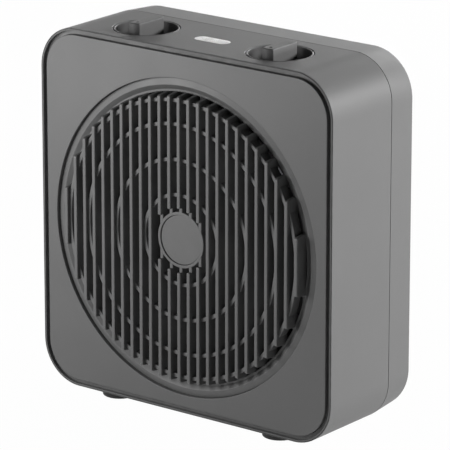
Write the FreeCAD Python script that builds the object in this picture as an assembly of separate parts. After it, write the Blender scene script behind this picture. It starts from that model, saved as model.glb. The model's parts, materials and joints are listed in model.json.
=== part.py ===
import FreeCAD, Part
import math
import os

from FreeCAD import Vector

# Compact fan heater, millimetres. X runs to the right, Y to the back, Z up.
# The origin is on the floor under the middle of the heater.
# Depths are measured back from the face of the front panel.

# Overall size
body_w = 245.0
body_h = 253.0
body_d = 91.3
corner_r = 30.0
wall = 2.5
foot_h = 5.0
axis_drop = 3.85          # the outlet's axis lies this far below the middle of the body
seam_d = 64.6             # where the rear cover meets the housing
seam_gap = 0.5            # shadow line between the two
running_gap = 0.05        # radial clearance of shafts in their bushes
slip_gap = 0.15           # clearance of a stem or lens in its hole

# Front panel and the rim around it
groove_w = 3.0            # shadow groove between the panel and the rim
rim_w = 1.65
rim_round = 0.9
panel_t = 3.5
panel_round = 0.4
panel_land = 8.0          # narrowest strip of panel beside the outlet
front_wall_t = 3.5
boss_inset = 26.0         # panel bosses, from the outside of the body
boss_r = 3.5
boss_l = 9.5
sleeve_wall = 2.0         # sleeves round the bosses, behind the front wall
clamp_head_r = 6.4

# Outlet grille
grille_gap = 0.2          # between the panel's opening and the grille's flange
flange_drop = 1.4         # flange's inner edge, behind the panel's face
flange_edge_drop = 2.6    # and its outer edge
flange_w = 4.45
cone_w = 3.2
cone_l = 2.0
root_w = 1.7
ring_back_l = 9.0         # how far back the grille's outer ring reaches
ring_wall = 2.4
seat_t = 2.0              # clamped flange behind the panel
seat_w = 3.75
seat_gap = 0.6
ring_room = 1.8           # front wall's hole, outside the grille's ring
slat_w = 2.7
slat_pitch = 8.1
slat_proud = 5.7          # slats stand this far in front of the panel
slat_back = 6.0
slat_inset = 2.3          # slats' front corners, inside the foot of the cone
slat_lean = 1.0           # the slats' ends lean in by this much at the front
slat_round = 1.6
slat_root = 0.6           # slats widen to the ring this far behind the foot of the cone
ring_t = 2.8
ring_front = 3.2          # rings stand this far in front of the panel
ring_back = 4.5
ring_first = 31.0
ring_step = 24.2
ring_edge = 3.6           # outermost ring, inside the ends of the slats
hub_r = 19.4
hub_front = 3.3
hub_rim = 2.2
hub_floor = 0.6           # the hub's floor stands this far in front of the panel
stub_clear = 2.9          # slats stop this far from the hub
stub_drop = 2.5           # and carry on this far behind their fronts
cap_gap = 0.15
cap_sink = 0.8            # the cap lies this far below the hub's rim
cap_pin_r = 3.0
cap_pin_l = 4.0

# Rear cover
rear_draft = 1.2          # the cover draws in by this much at the back
rear_round = 2.5
rear_corner_r = 33.0      # corner radius at the back
tongue_l = 3.0
tongue_t = 1.5
tongue_gap = 0.2
intake_inset = 2.0        # intake slots, inside the duct's bore
slot_w = 3.6
slot_pitch = 8.0
slot_rib = 3.0
column_inset = 16.5       # corner columns, from the outside of the body
column_r = 5.0
cover_screw_r = 2.0
cover_screw_l = 13.0      # length inside the housing's columns
cover_head_r = 3.8
cover_head_t = 2.6
cover_land = 6.0          # thickness clamped under each cover screw's head
screw_gap = 0.2
pilot_room = 1.0          # blind holes run this much deeper than their screws

# Feet
foot_r = 12.0
foot_round = 1.0
foot_inset = 53.65        # from the sides of the body
foot_front_d = 16.1
foot_rear_inset = 13.7    # from the back of the body
foot_stem_r = 2.6
foot_lip_r = 3.6
foot_lip_t = 1.5
foot_pad = 0.4

# Knobs, their wells and the controls under them
knob_x = 56.0
knob_d = 31.3
well_r = 23.0
well_wall = 2.0
knob_gap = 0.6
knob_rim = 1.3
knob_dish = 13.0
knob_floor = 2.0
bar_w = 9.2
bar_l = 26.2
bar_nose = 1.8
bar_rise = 5.8            # the bar stands this far above the deck
bar_round = 0.9
dot_r = 1.2
dot_depth = 0.5
dot_from_end = 3.2
spindle_r = 3.0
spindle_flat = 2.0
spindle_top = 1.0         # top of the spindle below the deck
collar_r = 4.5
collar_rise = 0.5
control_w = 34.0
control_l = 26.0
control_h = 20.0
spindle_sink = 12.0       # spindle inside its control
control_gap = 1.5
control_screw_x = 12.0
small_screw_r = 1.45
small_pilot_gap = 0.05
small_head_r = 2.7
small_head_t = 1.4
small_screw_l = 7.0
boss_floor = 1.0          # left under a boss's screw

# Indicator window
lens_l = 28.0
lens_w = 11.0
lens_flange = 1.8
lens_flange_t = 1.2
board_x = 20.0
board_t = 1.6
board_w = 14.0
board_margin = 5.0
board_boss_r = 3.0
lamp_r = 2.5
lamp_h = 4.0
lamp_round = 1.2

# Fan, duct and motor
duct_step = 21.9          # the duct is this much smaller in radius than the outlet
duct_wall = 2.5
duct_l = 30.0
plate_t = 2.5
plate_gap = 1.0
motor_room = 38.8         # between the shroud's front and the rear wall
shroud_boss_inset = 22.5
shroud_boss_rise = 60.0
shroud_boss_r = 4.0
tip_gap = 4.0
blade_count = 5
blade_t = 1.8
blade_root_chord = 20.0
blade_tip_chord = 44.0
blade_root_pitch = 45.0
blade_tip_pitch = 21.0
fan_hub_r = 14.0
fan_l = 16.0
fan_gap = 4.0
fan_nose_t = 2.0
shaft_r = 2.5
shaft_tail = 1.0
post_r = 4.0
post_ring = 9.0           # bracket posts, outside the duct's bore
bracket_t = 1.5
arm_w = 12.0
bracket_hub_r = 29.0
bracket_eye_r = 9.0
bar_t = 3.0
bearing_bar_w = 14.0
bearing_bar_l = 58.0
bearing_boss_r = 7.5
bearing_boss_l = 5.0
bush_r = 5.0
rotor_pocket = 1.5
rotor_r = 12.1
air_gap = 0.4
rotor_over = 0.5
stator_l = 15.0
stator_w = 60.0
limb_w = 11.0
yoke_below = 17.0
window_h = 22.0
coil_t = 8.0
coil_l = 34.0
coil_gap = 0.3
motor_screw_x = 24.5
motor_screw_r = 1.9
motor_head_r = 3.6
motor_head_t = 2.0
nut_r = 4.0
nut_t = 3.0

# Heater
heater_ring_gap = 0.4
heater_ring_t = 1.1
heater_ring_l = 10.2
tab_t = 1.2
tab_w = 9.0
tab_count = 3
ear_out = 3.5             # ears outside the duct's wall
ear_r = 4.5
ear_l = 10.0
mica_t = 1.2
mica_l = 10.0
mica_ahead = 3.0
mica_gap = 0.1
mica_boards = 3
coil_edge = 14.4          # outer coil's ring, inside the heater's band
coil_step = 27.0
coil_tube_r = 3.2
coil_hole_gap = 0.4
coil_open_deg = 20.0
coil_start_deg = 20.0
cutout_l = 12.0
cutout_w = 7.0
cutout_h = 5.0
fuse_r = 2.0
fuse_l = 11.0

# Tip-over switch, terminals, inlet and wiring
tip_d = 30.0
tip_w = 22.0
tip_l = 12.0
tip_h = 20.0
tip_ear = 9.0
tip_ear_t = 2.0
tip_boss_r = 3.5
tip_floor = 3.0
plunger_r = 3.0
plunger_hole_gap = 0.3
plunger_head_r = 4.4
plunger_head_t = 4.0
plunger_travel = 4.0
plunger_play = 0.7
plunger_round = 1.0
plunger_lift = 0.2        # plunger's tip above the floor when the heater stands
plunger_room = 7.0
terminal_inset = 62.5     # from the side of the body
terminal_back_gap = 4.0   # from the shroud's plate
terminal_w = 40.0
terminal_l = 16.0
terminal_h = 14.0
terminal_way_r = 2.2
inlet_inset = 52.5        # from the side of the body
inlet_rise = 25.0
inlet_bore_r = 4.0
inlet_body_r = 5.9
inlet_flange_r = 8.3
inlet_flange_t = 1.9
inlet_pad_t = 5.0
inlet_pad_rim = 5.0
inlet_pocket_t = 2.2
inlet_pocket_gap = 0.3
wire_r = 1.1
wire_side = 11.5          # side runs, from the outside of the body
wire_bend = 8.0

# Places worked out from the sizes above
total_d = slat_proud + body_d
face_y = slat_proud - total_d / 2
base_z = foot_h
top_z = base_z + body_h
axis_z = base_z + body_h / 2 - axis_drop
panel_inset = rim_w + groove_w
pilot_r = small_screw_r + small_pilot_gap
opening_r = min(body_w / 2, body_h / 2 - axis_drop) - panel_inset - panel_land
flange_r = opening_r - grille_gap
cone_r = flange_r - flange_w
root_r = cone_r - cone_w
ring_in_r = root_r - root_w
ring_out_r = ring_in_r + ring_wall
slat_end_r = root_r - slat_inset
ledge_d = flange_drop + cone_l
front_wall_d = panel_t + front_wall_t
seat_r = flange_r + seat_w
floor_z = base_z + wall
plunger_top_z = floor_z + tip_floor + plunger_travel + plunger_play + plunger_head_t
rear_pad_z = floor_z + rear_draft
deck_z = top_z - wall
well_depth = knob_dish + knob_floor + small_head_t + knob_gap
well_floor_z = top_z - well_depth
control_top_z = well_floor_z - well_wall
duct_r = opening_r - duct_step
duct_out_r = duct_r + duct_wall
shroud_d = body_d - wall - motor_room
plate_back_d = shroud_d + plate_t
duct_front_d = shroud_d - duct_l
fan_tip_r = duct_r - tip_gap
fan_d = shroud_d - fan_gap - fan_l
post_h = small_screw_l - bracket_t - plate_t
bracket_d = plate_back_d + post_h
front_bar_d = bracket_d + bracket_t
stator_d = front_bar_d + bar_t
rear_bar_d = stator_d + stator_l
motor_end_d = rear_bar_d + bar_t
post_at_r = duct_r + post_ring
heater_ring_r = duct_r - heater_ring_gap
heater_in_r = heater_ring_r - heater_ring_t
ear_at_r = duct_out_r + ear_out
coil_d = duct_front_d - mica_ahead + mica_l / 2
coil_outer_ring = heater_in_r - coil_edge
coil_inner_ring = coil_outer_ring - coil_step
board_pilot = small_screw_l - board_t + slip_gap
board_z = deck_z - board_pilot - boss_floor
tip_boss_h = small_screw_l - tip_ear_t + boss_floor
tip_boss_x = (tip_w + tip_ear) / 2
terminal_pad = small_screw_l - small_head_t + boss_floor
terminal_x = body_w / 2 - terminal_inset
terminal_d = shroud_d - terminal_back_gap - terminal_l / 2
inlet_x = body_w / 2 - inlet_inset
inlet_z = base_z + inlet_rise
intake_r = duct_r - intake_inset
foot_x = body_w / 2 - foot_inset
foot_rear_d = body_d - foot_rear_inset
stator_top = yoke_below + window_h + limb_w
column_x = body_w / 2 - column_inset
column_zs = (base_z + column_inset, top_z - column_inset)
column_places = [(sx * column_x, z) for sx in (-1, 1) for z in column_zs]
boss_x = body_w / 2 - boss_inset
boss_zs = (base_z + boss_inset, top_z - boss_inset)
boss_places = [(sx * boss_x, z) for sx in (-1, 1) for z in boss_zs]
boss_end_d = panel_t + boss_l
shroud_boss_x = body_w / 2 - shroud_boss_inset
shroud_boss_places = [
    (sx * shroud_boss_x, axis_z + sz * shroud_boss_rise) for sx in (-1, 1) for sz in (-1, 1)
]
foot_places = [(sx * foot_x, d) for sx in (-1, 1) for d in (foot_front_d, foot_rear_d)]
knob_places = {"mode": -knob_x, "thermostat": knob_x}


def y_at(depth):
    return face_y + depth


def box(x0, x1, d0, d1, z0, z1):
    return Part.makeBox(x1 - x0, d1 - d0, z1 - z0, Vector(x0, y_at(d0), z0))


def rod_y(radius, x, z, d0, d1):
    return Part.makeCylinder(radius, d1 - d0, Vector(x, y_at(d0), z), Vector(0, 1, 0))


def rod_z(radius, x, depth, z0, z1):
    return Part.makeCylinder(radius, z1 - z0, Vector(x, y_at(depth), z0))


def fan_rod(radius, d0, d1):
    return rod_y(radius, 0, axis_z, d0, d1)


def fuse(shapes):
    return shapes[0].multiFuse(shapes[1:]).removeSplitter()


def cut(shape, tools):
    return shape.cut(Part.makeCompound(tools))


def outline(inset, depth, outer_r=corner_r):
    # The body's outline as a rounded rectangle, drawn in by the inset
    half = body_w / 2 - inset
    low = base_z + inset
    high = top_z - inset
    r = outer_r - inset
    corners = [(half - r, high - r, 0), (r - half, high - r, 90),
               (r - half, low + r, 180), (half - r, low + r, 270)]
    arcs = []
    for x, z, start in corners:
        ends = [math.radians(start + a) for a in (0, 45, 90)]
        points = [Vector(x + r * math.cos(a), y_at(depth), z + r * math.sin(a)) for a in ends]
        arcs.append(Part.Arc(*points).toShape())
    edges = []
    for here, after in zip(arcs, arcs[1:] + arcs[:1]):
        edges.append(here)
        edges.append(Part.makeLine(here.Vertexes[-1].Point, after.Vertexes[0].Point))
    return Part.Wire(edges)


def slab(inset, d0, d1):
    return Part.Face(outline(inset, d0)).extrude(Vector(0, d1 - d0, 0))


def turned(profile):
    # A ring turned about the fan's axis from points of radius and depth
    points = [Vector(r, y_at(d), axis_z) for r, d in profile]
    face = Part.Face(Part.makePolygon(points + points[:1]))
    return face.revolve(Vector(0, 0, axis_z), Vector(0, 1, 0), 360)


def about_axis(shape, degrees):
    turn = shape.copy()
    turn.rotate(Vector(0, 0, axis_z), Vector(0, 1, 0), degrees)
    return turn


def edges_at_depth(shape, depth):
    y = y_at(depth)
    return [e for e in shape.Edges if all(abs(v.Point.y - y) < 1e-4 for v in e.Vertexes)]


def stadium(length, width, x, depth, z0, z1):
    half = (length - width) / 2
    middle = box(x - half, x + half, depth - width / 2, depth + width / 2, z0, z1)
    ends = [rod_z(width / 2, x + s * half, depth, z0, z1) for s in (-1, 1)]
    return fuse([middle] + ends)


def screw_y(x, z, seat_depth, forward, shank_r, shank_l, head_r, head_t):
    # A pan-head screw along Y, its head's underside at the seat. Forward screws point to the front.
    if forward:
        shank = rod_y(shank_r, x, z, seat_depth - shank_l, seat_depth)
        head = rod_y(head_r, x, z, seat_depth, seat_depth + head_t)
    else:
        shank = rod_y(shank_r, x, z, seat_depth, seat_depth + shank_l)
        head = rod_y(head_r, x, z, seat_depth - head_t, seat_depth)
    return shank.fuse(head)


def small_screw_z(x, depth, seat_z, up):
    # A small pan-head screw along Z, its head's underside at the seat
    s = 1 if up else -1
    low, high = sorted((seat_z, seat_z + s * small_screw_l))
    shank = rod_z(small_screw_r, x, depth, low, high)
    low, high = sorted((seat_z, seat_z - s * small_head_t))
    return shank.fuse(rod_z(small_head_r, x, depth, low, high))


def tube_along(points, radius, bend):
    # A wire along straight runs joined by tangent arcs
    points = [Vector(x, y_at(d), z) for x, d, z in points]
    edges = []
    start = points[0]
    for before, corner, after in zip(points, points[1:], points[2:]):
        back = (before - corner).normalize()
        ahead = (after - corner).normalize()
        half_turn = back.getAngle(ahead) / 2
        reach = bend / math.tan(half_turn)
        middle = (back + ahead).normalize()
        inner = corner + middle * (bend / math.sin(half_turn) - bend)
        edges.append(Part.makeLine(start, corner + back * reach))
        edges.append(Part.Arc(corner + back * reach, inner, corner + ahead * reach).toShape())
        start = corner + ahead * reach
    edges.append(Part.makeLine(start, points[-1]))
    section = Part.Wire(Part.makeCircle(radius, points[0], points[1] - points[0]))
    return Part.Wire(edges).makePipeShell([section], True, False)


def main_housing():
    shell = cut(slab(0, 0, seam_d), [slab(wall, front_wall_d, seam_d)])
    shell = shell.makeFillet(rim_round, edges_at_depth(shell, 0))
    shell = cut(shell, [slab(rim_w, 0, panel_t)])
    added = [rod_y(column_r, x, z, front_wall_d, seam_d) for x, z in column_places]
    added += [rod_y(shroud_boss_r, x, z, front_wall_d, shroud_d) for x, z in shroud_boss_places]
    sleeve_r = boss_r + slip_gap + sleeve_wall
    added += [rod_y(sleeve_r, x, z, front_wall_d, boss_end_d) for x, z in boss_places]
    for x in knob_places.values():
        added.append(rod_z(well_r + well_wall, x, knob_d, control_top_z, deck_z))
    for side in (-1, 1):
        added.append(rod_z(board_boss_r, side * board_x, knob_d, board_z, deck_z))
        added.append(rod_z(tip_boss_r, side * tip_boss_x, tip_d, floor_z, floor_z + tip_boss_h))
    half_w, half_l = terminal_w / 2, terminal_l / 2
    added.append(box(terminal_x - half_w, terminal_x + half_w, terminal_d - half_l, terminal_d + half_l,
                     floor_z, floor_z + terminal_pad))
    shell = fuse([shell] + added)
    holes = [fan_rod(ring_out_r + ring_room, panel_t, front_wall_d)]
    holes.append(fan_rod(seat_r + seat_gap, panel_t, panel_t + seat_t))
    holes += [rod_y(boss_r + slip_gap, x, z, panel_t, boss_end_d) for x, z in boss_places]
    cover_pilot = cover_screw_l + pilot_room
    holes += [rod_y(cover_screw_r, x, z, seam_d - cover_pilot, seam_d) for x, z in column_places]
    holes += [rod_y(pilot_r, x, z, shroud_d - small_screw_l, shroud_d)
              for x, z in shroud_boss_places]
    for x in knob_places.values():
        holes.append(rod_z(well_r, x, knob_d, well_floor_z, top_z))
        holes.append(rod_z(collar_r + slip_gap, x, knob_d, control_top_z, well_floor_z))
        for side in (-1, 1):
            holes.append(rod_z(small_screw_r + screw_gap, x + side * control_screw_x, knob_d,
                               control_top_z, well_floor_z))
    holes.append(stadium(lens_l, lens_w, 0, knob_d, deck_z, top_z))
    for side in (-1, 1):
        holes.append(rod_z(pilot_r, side * board_x, knob_d, board_z, board_z + board_pilot))
        holes.append(rod_z(pilot_r, side * tip_boss_x, tip_d, floor_z, floor_z + tip_boss_h))
        holes.append(rod_z(foot_stem_r + slip_gap, side * foot_x, foot_front_d, base_z, floor_z))
    holes.append(rod_z(plunger_r + plunger_hole_gap, 0, tip_d, base_z, floor_z))
    holes.append(rod_z(pilot_r, terminal_x, terminal_d, floor_z, floor_z + terminal_pad))
    return cut(shell, holes)


def front_panel():
    plate = cut(slab(panel_inset, 0, panel_t), [fan_rod(opening_r, 0, panel_t)])
    plate = plate.makeFillet(panel_round, edges_at_depth(plate, 0))
    bosses = [rod_y(boss_r, x, z, panel_t, boss_end_d) for x, z in boss_places]
    plate = fuse([plate] + bosses)
    pilot_d = boss_end_d - small_screw_l - pilot_room
    pilots = [rod_y(pilot_r, x, z, pilot_d, boss_end_d) for x, z in boss_places]
    return cut(plate, pilots)


def grille_ring():
    return turned([
        (flange_r, flange_edge_drop), (cone_r, flange_drop), (root_r, ledge_d),
        (ring_in_r, ledge_d), (ring_in_r, ring_back_l), (ring_out_r, ring_back_l),
        (ring_out_r, panel_t + seat_t), (seat_r, panel_t + seat_t), (seat_r, panel_t), (flange_r, panel_t),
    ])


def grille_slat(x):
    # An upright plate with rounded front corners, wider at the back where it joins the ring
    end = math.sqrt(slat_end_r ** 2 - x ** 2)
    root_d = ledge_d + slat_root
    corner = slat_round * (1 - math.sqrt(0.5))
    upper = [(-slat_proud, end - slat_round), (corner - slat_proud, end - corner),
             (slat_round - slat_proud, end), (root_d, end + slat_lean),
             (root_d, ring_out_r), (slat_back, ring_out_r)]
    top = [Vector(x - slat_w / 2, y_at(d), axis_z + z) for d, z in upper]
    low = [Vector(x - slat_w / 2, y_at(d), axis_z - z) for d, z in upper]
    edges = [Part.makeLine(low[0], top[0]), Part.Arc(*top[:3]).toShape()]
    edges += [Part.makeLine(a, b) for a, b in zip(top[2:], top[3:])]
    edges.append(Part.makeLine(top[-1], low[-1]))
    edges += [Part.makeLine(b, a) for a, b in reversed(list(zip(low[2:], low[3:])))]
    edges.append(Part.Arc(*reversed(low[:3])).toShape())
    return Part.Face(Part.Wire(edges)).extrude(Vector(slat_w, 0, 0))


def grille_slats():
    count = int((slat_end_r - slat_w / 2) / slat_pitch)
    plates = [grille_slat(i * slat_pitch) for i in range(-count, count + 1)]
    inside = fan_rod((ring_in_r + ring_out_r) / 2, -slat_proud, slat_back)
    hub_room = fan_rod(hub_r + stub_clear, -slat_proud, stub_drop - slat_proud)
    hub_core = fan_rod(hub_r - hub_rim / 2, -slat_proud, slat_back)
    return Part.makeCompound(plates).common(inside).cut(hub_room).cut(hub_core).Solids


def front_grille():
    pieces = [grille_ring()] + grille_slats()
    radii = [slat_end_r - ring_edge]
    r = ring_first
    while r < slat_end_r - ring_edge - ring_step / 2:
        radii.append(r)
        r += ring_step
    for r in radii:
        pieces.append(fan_rod(r + ring_t / 2, -ring_front, ring_back).cut(
            fan_rod(r - ring_t / 2, -ring_front, ring_back)))
    hub = fan_rod(hub_r, -hub_front, slat_back).cut(fan_rod(hub_r - hub_rim, -hub_front, -hub_floor))
    hub = hub.cut(fan_rod(cap_pin_r + running_gap, -hub_floor, cap_pin_l - hub_floor))
    return fuse(pieces + [hub])


def hub_cap():
    face_d = cap_sink - hub_front
    disc = fan_rod(hub_r - hub_rim - cap_gap, face_d, -hub_floor)
    disc = disc.makeFillet(panel_round, edges_at_depth(disc, face_d))
    return disc.fuse(fan_rod(cap_pin_r, -hub_floor, cap_pin_l - hub_floor))


def intake_slots():
    slots = []
    rows = int(intake_r / slot_pitch)
    for row in range(-rows, rows + 1):
        offset = row * slot_pitch
        half = math.sqrt(max(intake_r ** 2 - offset ** 2, 0))
        lanes = [(slot_rib / 2, min(half, intake_r / 2 - slot_rib / 2)),
                 (intake_r / 2 + slot_rib / 2, half)]
        for inner, outer in lanes:
            if outer - inner < 2 * slot_w:
                continue
            for side in (-1, 1):
                low, high = sorted((side * inner, side * outer))
                slots.append(box(low, high, body_d - wall, body_d,
                                 axis_z + offset - slot_w / 2, axis_z + offset + slot_w / 2))
    return slots


def rear_cover():
    front_d = seam_d + seam_gap
    skin = Part.makeLoft([outline(0, front_d),
                          outline(rear_draft, body_d, rear_corner_r)], True, True)
    skin = skin.makeFillet(rear_round, edges_at_depth(skin, body_d))
    hollow = Part.makeLoft([outline(wall, front_d),
                            outline(rear_draft + wall, body_d - wall, rear_corner_r)], True, True)
    tongue_inset = wall + tongue_gap
    tongue = slab(tongue_inset, seam_d - tongue_l, front_d + tongue_l).cut(
        slab(tongue_inset + tongue_t, seam_d - tongue_l, front_d + tongue_l))
    added = [tongue]
    added += [rod_y(column_r, x, z, seam_d, body_d - wall) for x, z in column_places]
    inlet_pad_r = inlet_flange_r + inlet_pad_rim
    added.append(rod_y(inlet_pad_r, -inlet_x, inlet_z, body_d - wall - inlet_pad_t, body_d - wall))
    pads = [rod_z(foot_r + foot_pad, side * foot_x, foot_rear_d, base_z, rear_pad_z)
            for side in (-1, 1)]
    cover = fuse([skin.cut(hollow)] + added + pads)
    holes = intake_slots()
    for x, z in column_places:
        holes.append(rod_y(cover_screw_r + screw_gap, x, z, seam_d, body_d))
        holes.append(rod_y(cover_head_r + screw_gap, x, z, seam_d + cover_land, body_d))
    holes.append(rod_y(inlet_flange_r + inlet_pocket_gap, -inlet_x, inlet_z,
                       body_d - inlet_pocket_t, body_d))
    holes.append(rod_y(inlet_body_r + slip_gap, -inlet_x, inlet_z, body_d - wall - inlet_pad_t, body_d))
    holes += [rod_z(foot_stem_r + slip_gap, side * foot_x, foot_rear_d, base_z, rear_pad_z)
              for side in (-1, 1)]
    return cut(cover, holes)


def rubber_feet():
    feet = []
    for x, depth in foot_places:
        seat_z = rear_pad_z if depth > seam_d else floor_z
        pad = rod_z(foot_r, x, depth, 0, foot_h)
        pad = pad.makeFillet(foot_round, [e for e in pad.Edges if e.BoundBox.ZMax < foot_h / 2])
        stem = rod_z(foot_stem_r, x, depth, foot_h, seat_z)
        lip = rod_z(foot_lip_r, x, depth, seat_z, seat_z + foot_lip_t)
        feet.append(fuse([pad, stem, lip]))
    return feet


def bar_grip(x):
    # The grip runs front to back, flat at the back and gently rounded at the front
    low = top_z - knob_dish
    high = top_z + bar_rise
    half_w, half_l = bar_w / 2, bar_l / 2
    front = knob_d - half_l
    back = knob_d + half_l
    corners = [Vector(x - half_w, y_at(front), low), Vector(x + half_w, y_at(front), low),
               Vector(x + half_w, y_at(back), low), Vector(x - half_w, y_at(back), low)]
    nose = Part.Arc(corners[0], Vector(x, y_at(front - bar_nose), low), corners[1]).toShape()
    sides = [Part.makeLine(corners[i], corners[(i + 1) % 4]) for i in (1, 2, 3)]
    grip = Part.Face(Part.Wire([nose] + sides)).extrude(Vector(0, 0, high - low))
    return grip.makeFillet(bar_round, [e for e in grip.Edges if e.BoundBox.ZMin > high - bar_round / 2])


def knob(x):
    cup_r = well_r - knob_gap
    cup = rod_z(cup_r, x, knob_d, top_z - knob_dish - knob_floor, top_z)
    cup = cup.cut(rod_z(cup_r - knob_rim, x, knob_d, top_z - knob_dish, top_z))
    cup = cup.makeFillet(knob_rim / 3, [e for e in cup.Edges if e.BoundBox.ZMin > top_z - knob_rim / 2])
    body = fuse([cup, bar_grip(x)])
    dot = rod_z(dot_r, x, knob_d - bar_l / 2 + dot_from_end, top_z + bar_rise - dot_depth, top_z + bar_rise)
    return cut(body, [spindle(x), dot])


def spindle(x):
    low = control_top_z - spindle_sink
    high = top_z - spindle_top
    rod = rod_z(spindle_r, x, knob_d, low, high)
    flat = box(x + spindle_flat, x + 2 * spindle_r, knob_d - spindle_r, knob_d + spindle_r,
               control_top_z, high)
    flat.translate(Vector(0, 0, well_depth / 2))
    return rod.cut(flat)


def control(x):
    low = control_top_z - control_h
    case = box(x - control_w / 2, x + control_w / 2, knob_d - control_l / 2, knob_d + control_l / 2,
               low, control_top_z)
    bush = rod_z(collar_r, x, knob_d, control_top_z, well_floor_z + collar_rise)
    holes = [rod_z(spindle_r + running_gap, x, knob_d, control_top_z - spindle_sink - control_gap,
                   well_floor_z + collar_rise)]
    for side in (-1, 1):
        holes.append(rod_z(pilot_r, x + side * control_screw_x, knob_d,
                           control_top_z - small_screw_l, control_top_z))
    return cut(case.fuse(bush), holes)


def control_screws():
    return [small_screw_z(x + side * control_screw_x, knob_d, well_floor_z, False)
            for x in knob_places.values() for side in (-1, 1)]


def indicator_lens():
    window = stadium(lens_l - 2 * slip_gap, lens_w - 2 * slip_gap, 0, knob_d, deck_z, top_z)
    flange = stadium(lens_l + 2 * lens_flange, lens_w + 2 * lens_flange, 0, knob_d,
                     deck_z - lens_flange_t, deck_z)
    return fuse([window, flange])


def indicator_board():
    half = board_x + board_margin
    board = box(-half, half, knob_d - board_w / 2, knob_d + board_w / 2, board_z - board_t, board_z)
    return cut(board, [rod_z(small_screw_r + screw_gap, side * board_x, knob_d, board_z - board_t, board_z)
                       for side in (-1, 1)])


def indicator_lamp():
    body = rod_z(lamp_r, 0, knob_d, board_z, board_z + lamp_h)
    return body.makeFillet(lamp_round, [e for e in body.Edges if e.BoundBox.ZMin > board_z + lamp_h / 2])


def board_screws():
    return [small_screw_z(side * board_x, knob_d, board_z - board_t, True) for side in (-1, 1)]


def fan_shroud():
    plate = slab(wall + plate_gap, shroud_d, plate_back_d)
    ears = []
    ear_pilots = []
    for i in range(tab_count):
        angle = i * 360 / tab_count
        ears.append(about_axis(rod_y(ear_r, 0, axis_z + ear_at_r,
                                     duct_front_d, duct_front_d + ear_l), angle))
        ear_pilots.append(about_axis(rod_y(pilot_r, 0, axis_z + ear_at_r,
                                           duct_front_d, duct_front_d + small_screw_l), angle))
    posts = [rod_y(post_r, x, z, plate_back_d, bracket_d) for x, z in post_places()]
    body = fuse([plate, fan_rod(duct_out_r, duct_front_d, shroud_d)] + ears + posts)
    holes = [fan_rod(duct_r, duct_front_d, plate_back_d)] + ear_pilots
    holes += [rod_y(column_r + plate_gap, x, z, shroud_d, plate_back_d) for x, z in column_places]
    holes += [rod_y(small_screw_r + screw_gap, x, z, shroud_d, plate_back_d)
              for x, z in shroud_boss_places]
    holes += [rod_y(pilot_r, x, z, shroud_d, bracket_d) for x, z in post_places()]
    for x in knob_places.values():
        reach = max(well_r + well_wall, control_w / 2) + plate_gap
        holes.append(box(x - reach, x + reach, shroud_d, plate_back_d,
                         control_top_z - control_h - plate_gap, top_z))
    return cut(body, holes)


def post_places():
    return [(-post_at_r, axis_z), (post_at_r, axis_z), (0, axis_z - post_at_r)]


def shroud_screws():
    return [screw_y(x, z, plate_back_d, True, small_screw_r, small_screw_l, small_head_r, small_head_t)
            for x, z in shroud_boss_places]


def panel_screws():
    # Wide-headed screws that pull the panel's bosses up against the ends of their sleeves
    return [screw_y(x, z, boss_end_d, True, small_screw_r, small_screw_l, clamp_head_r, small_head_t)
            for x, z in boss_places]


def cover_screws():
    length = cover_land + cover_screw_l
    return [screw_y(x, z, seam_d + cover_land, True, cover_screw_r, length, cover_head_r, cover_head_t)
            for x, z in column_places]


def motor_bracket():
    # A pressed steel plate with three arms
    disc = fan_rod(bracket_hub_r, bracket_d, front_bar_d)
    reach = post_at_r + post_r
    arms = [box(-reach, reach, bracket_d, front_bar_d, axis_z - arm_w / 2, axis_z + arm_w / 2),
            box(-arm_w / 2, arm_w / 2, bracket_d, front_bar_d, axis_z - reach, axis_z)]
    holes = [fan_rod(bracket_eye_r, bracket_d, front_bar_d)]
    holes += [rod_y(small_screw_r + screw_gap, x, z, bracket_d, front_bar_d) for x, z in post_places()]
    holes += [rod_y(motor_screw_r + screw_gap, side * motor_screw_x, axis_z, bracket_d, front_bar_d)
              for side in (-1, 1)]
    return cut(fuse([disc] + arms), holes)


def bracket_screws():
    return [screw_y(x, z, front_bar_d, True, small_screw_r, small_screw_l, small_head_r, small_head_t)
            for x, z in post_places()]


def bearing_bracket(front):
    # A cast bar across the stator with a boss for the bush
    near = front_bar_d if front else rear_bar_d
    half = bearing_bar_l / 2
    bar = box(-half, half, near, near + bar_t, axis_z - bearing_bar_w / 2, axis_z + bearing_bar_w / 2)
    if front:
        boss = fan_rod(bearing_boss_r, near - bearing_boss_l, near)
        pocket = fan_rod(rotor_r + 2 * air_gap, near + bar_t - rotor_pocket, near + bar_t)
    else:
        boss = fan_rod(bearing_boss_r, near + bar_t, near + bar_t + bearing_boss_l)
        pocket = fan_rod(rotor_r + 2 * air_gap, near, near + rotor_pocket)
    holes = [pocket, fan_rod(bush_r, near - bearing_boss_l, near + bar_t + bearing_boss_l)]
    holes += [rod_y(motor_screw_r + screw_gap, side * motor_screw_x, axis_z, near, near + bar_t)
              for side in (-1, 1)]
    return cut(bar.fuse(boss), holes)


def bearing_bushes():
    spans = [(front_bar_d - bearing_boss_l, stator_d - rotor_pocket),
             (rear_bar_d + rotor_pocket, motor_end_d + bearing_boss_l)]
    return [fan_rod(bush_r, low, high).cut(fan_rod(shaft_r + running_gap, low, high))
            for low, high in spans]


def motor_stator():
    # Lamination stack: a bored yoke round the rotor, two limbs and a top limb for the winding
    half = stator_w / 2
    stack = box(-half, half, stator_d, rear_bar_d, axis_z - yoke_below, axis_z + stator_top)
    holes = [fan_rod(rotor_r + air_gap, stator_d, rear_bar_d)]
    holes.append(box(limb_w - half, half - limb_w, stator_d, rear_bar_d,
                     axis_z + yoke_below, axis_z + yoke_below + window_h))
    holes += [rod_y(motor_screw_r + screw_gap, side * motor_screw_x, axis_z, stator_d, rear_bar_d)
              for side in (-1, 1)]
    return cut(stack, holes)


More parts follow.
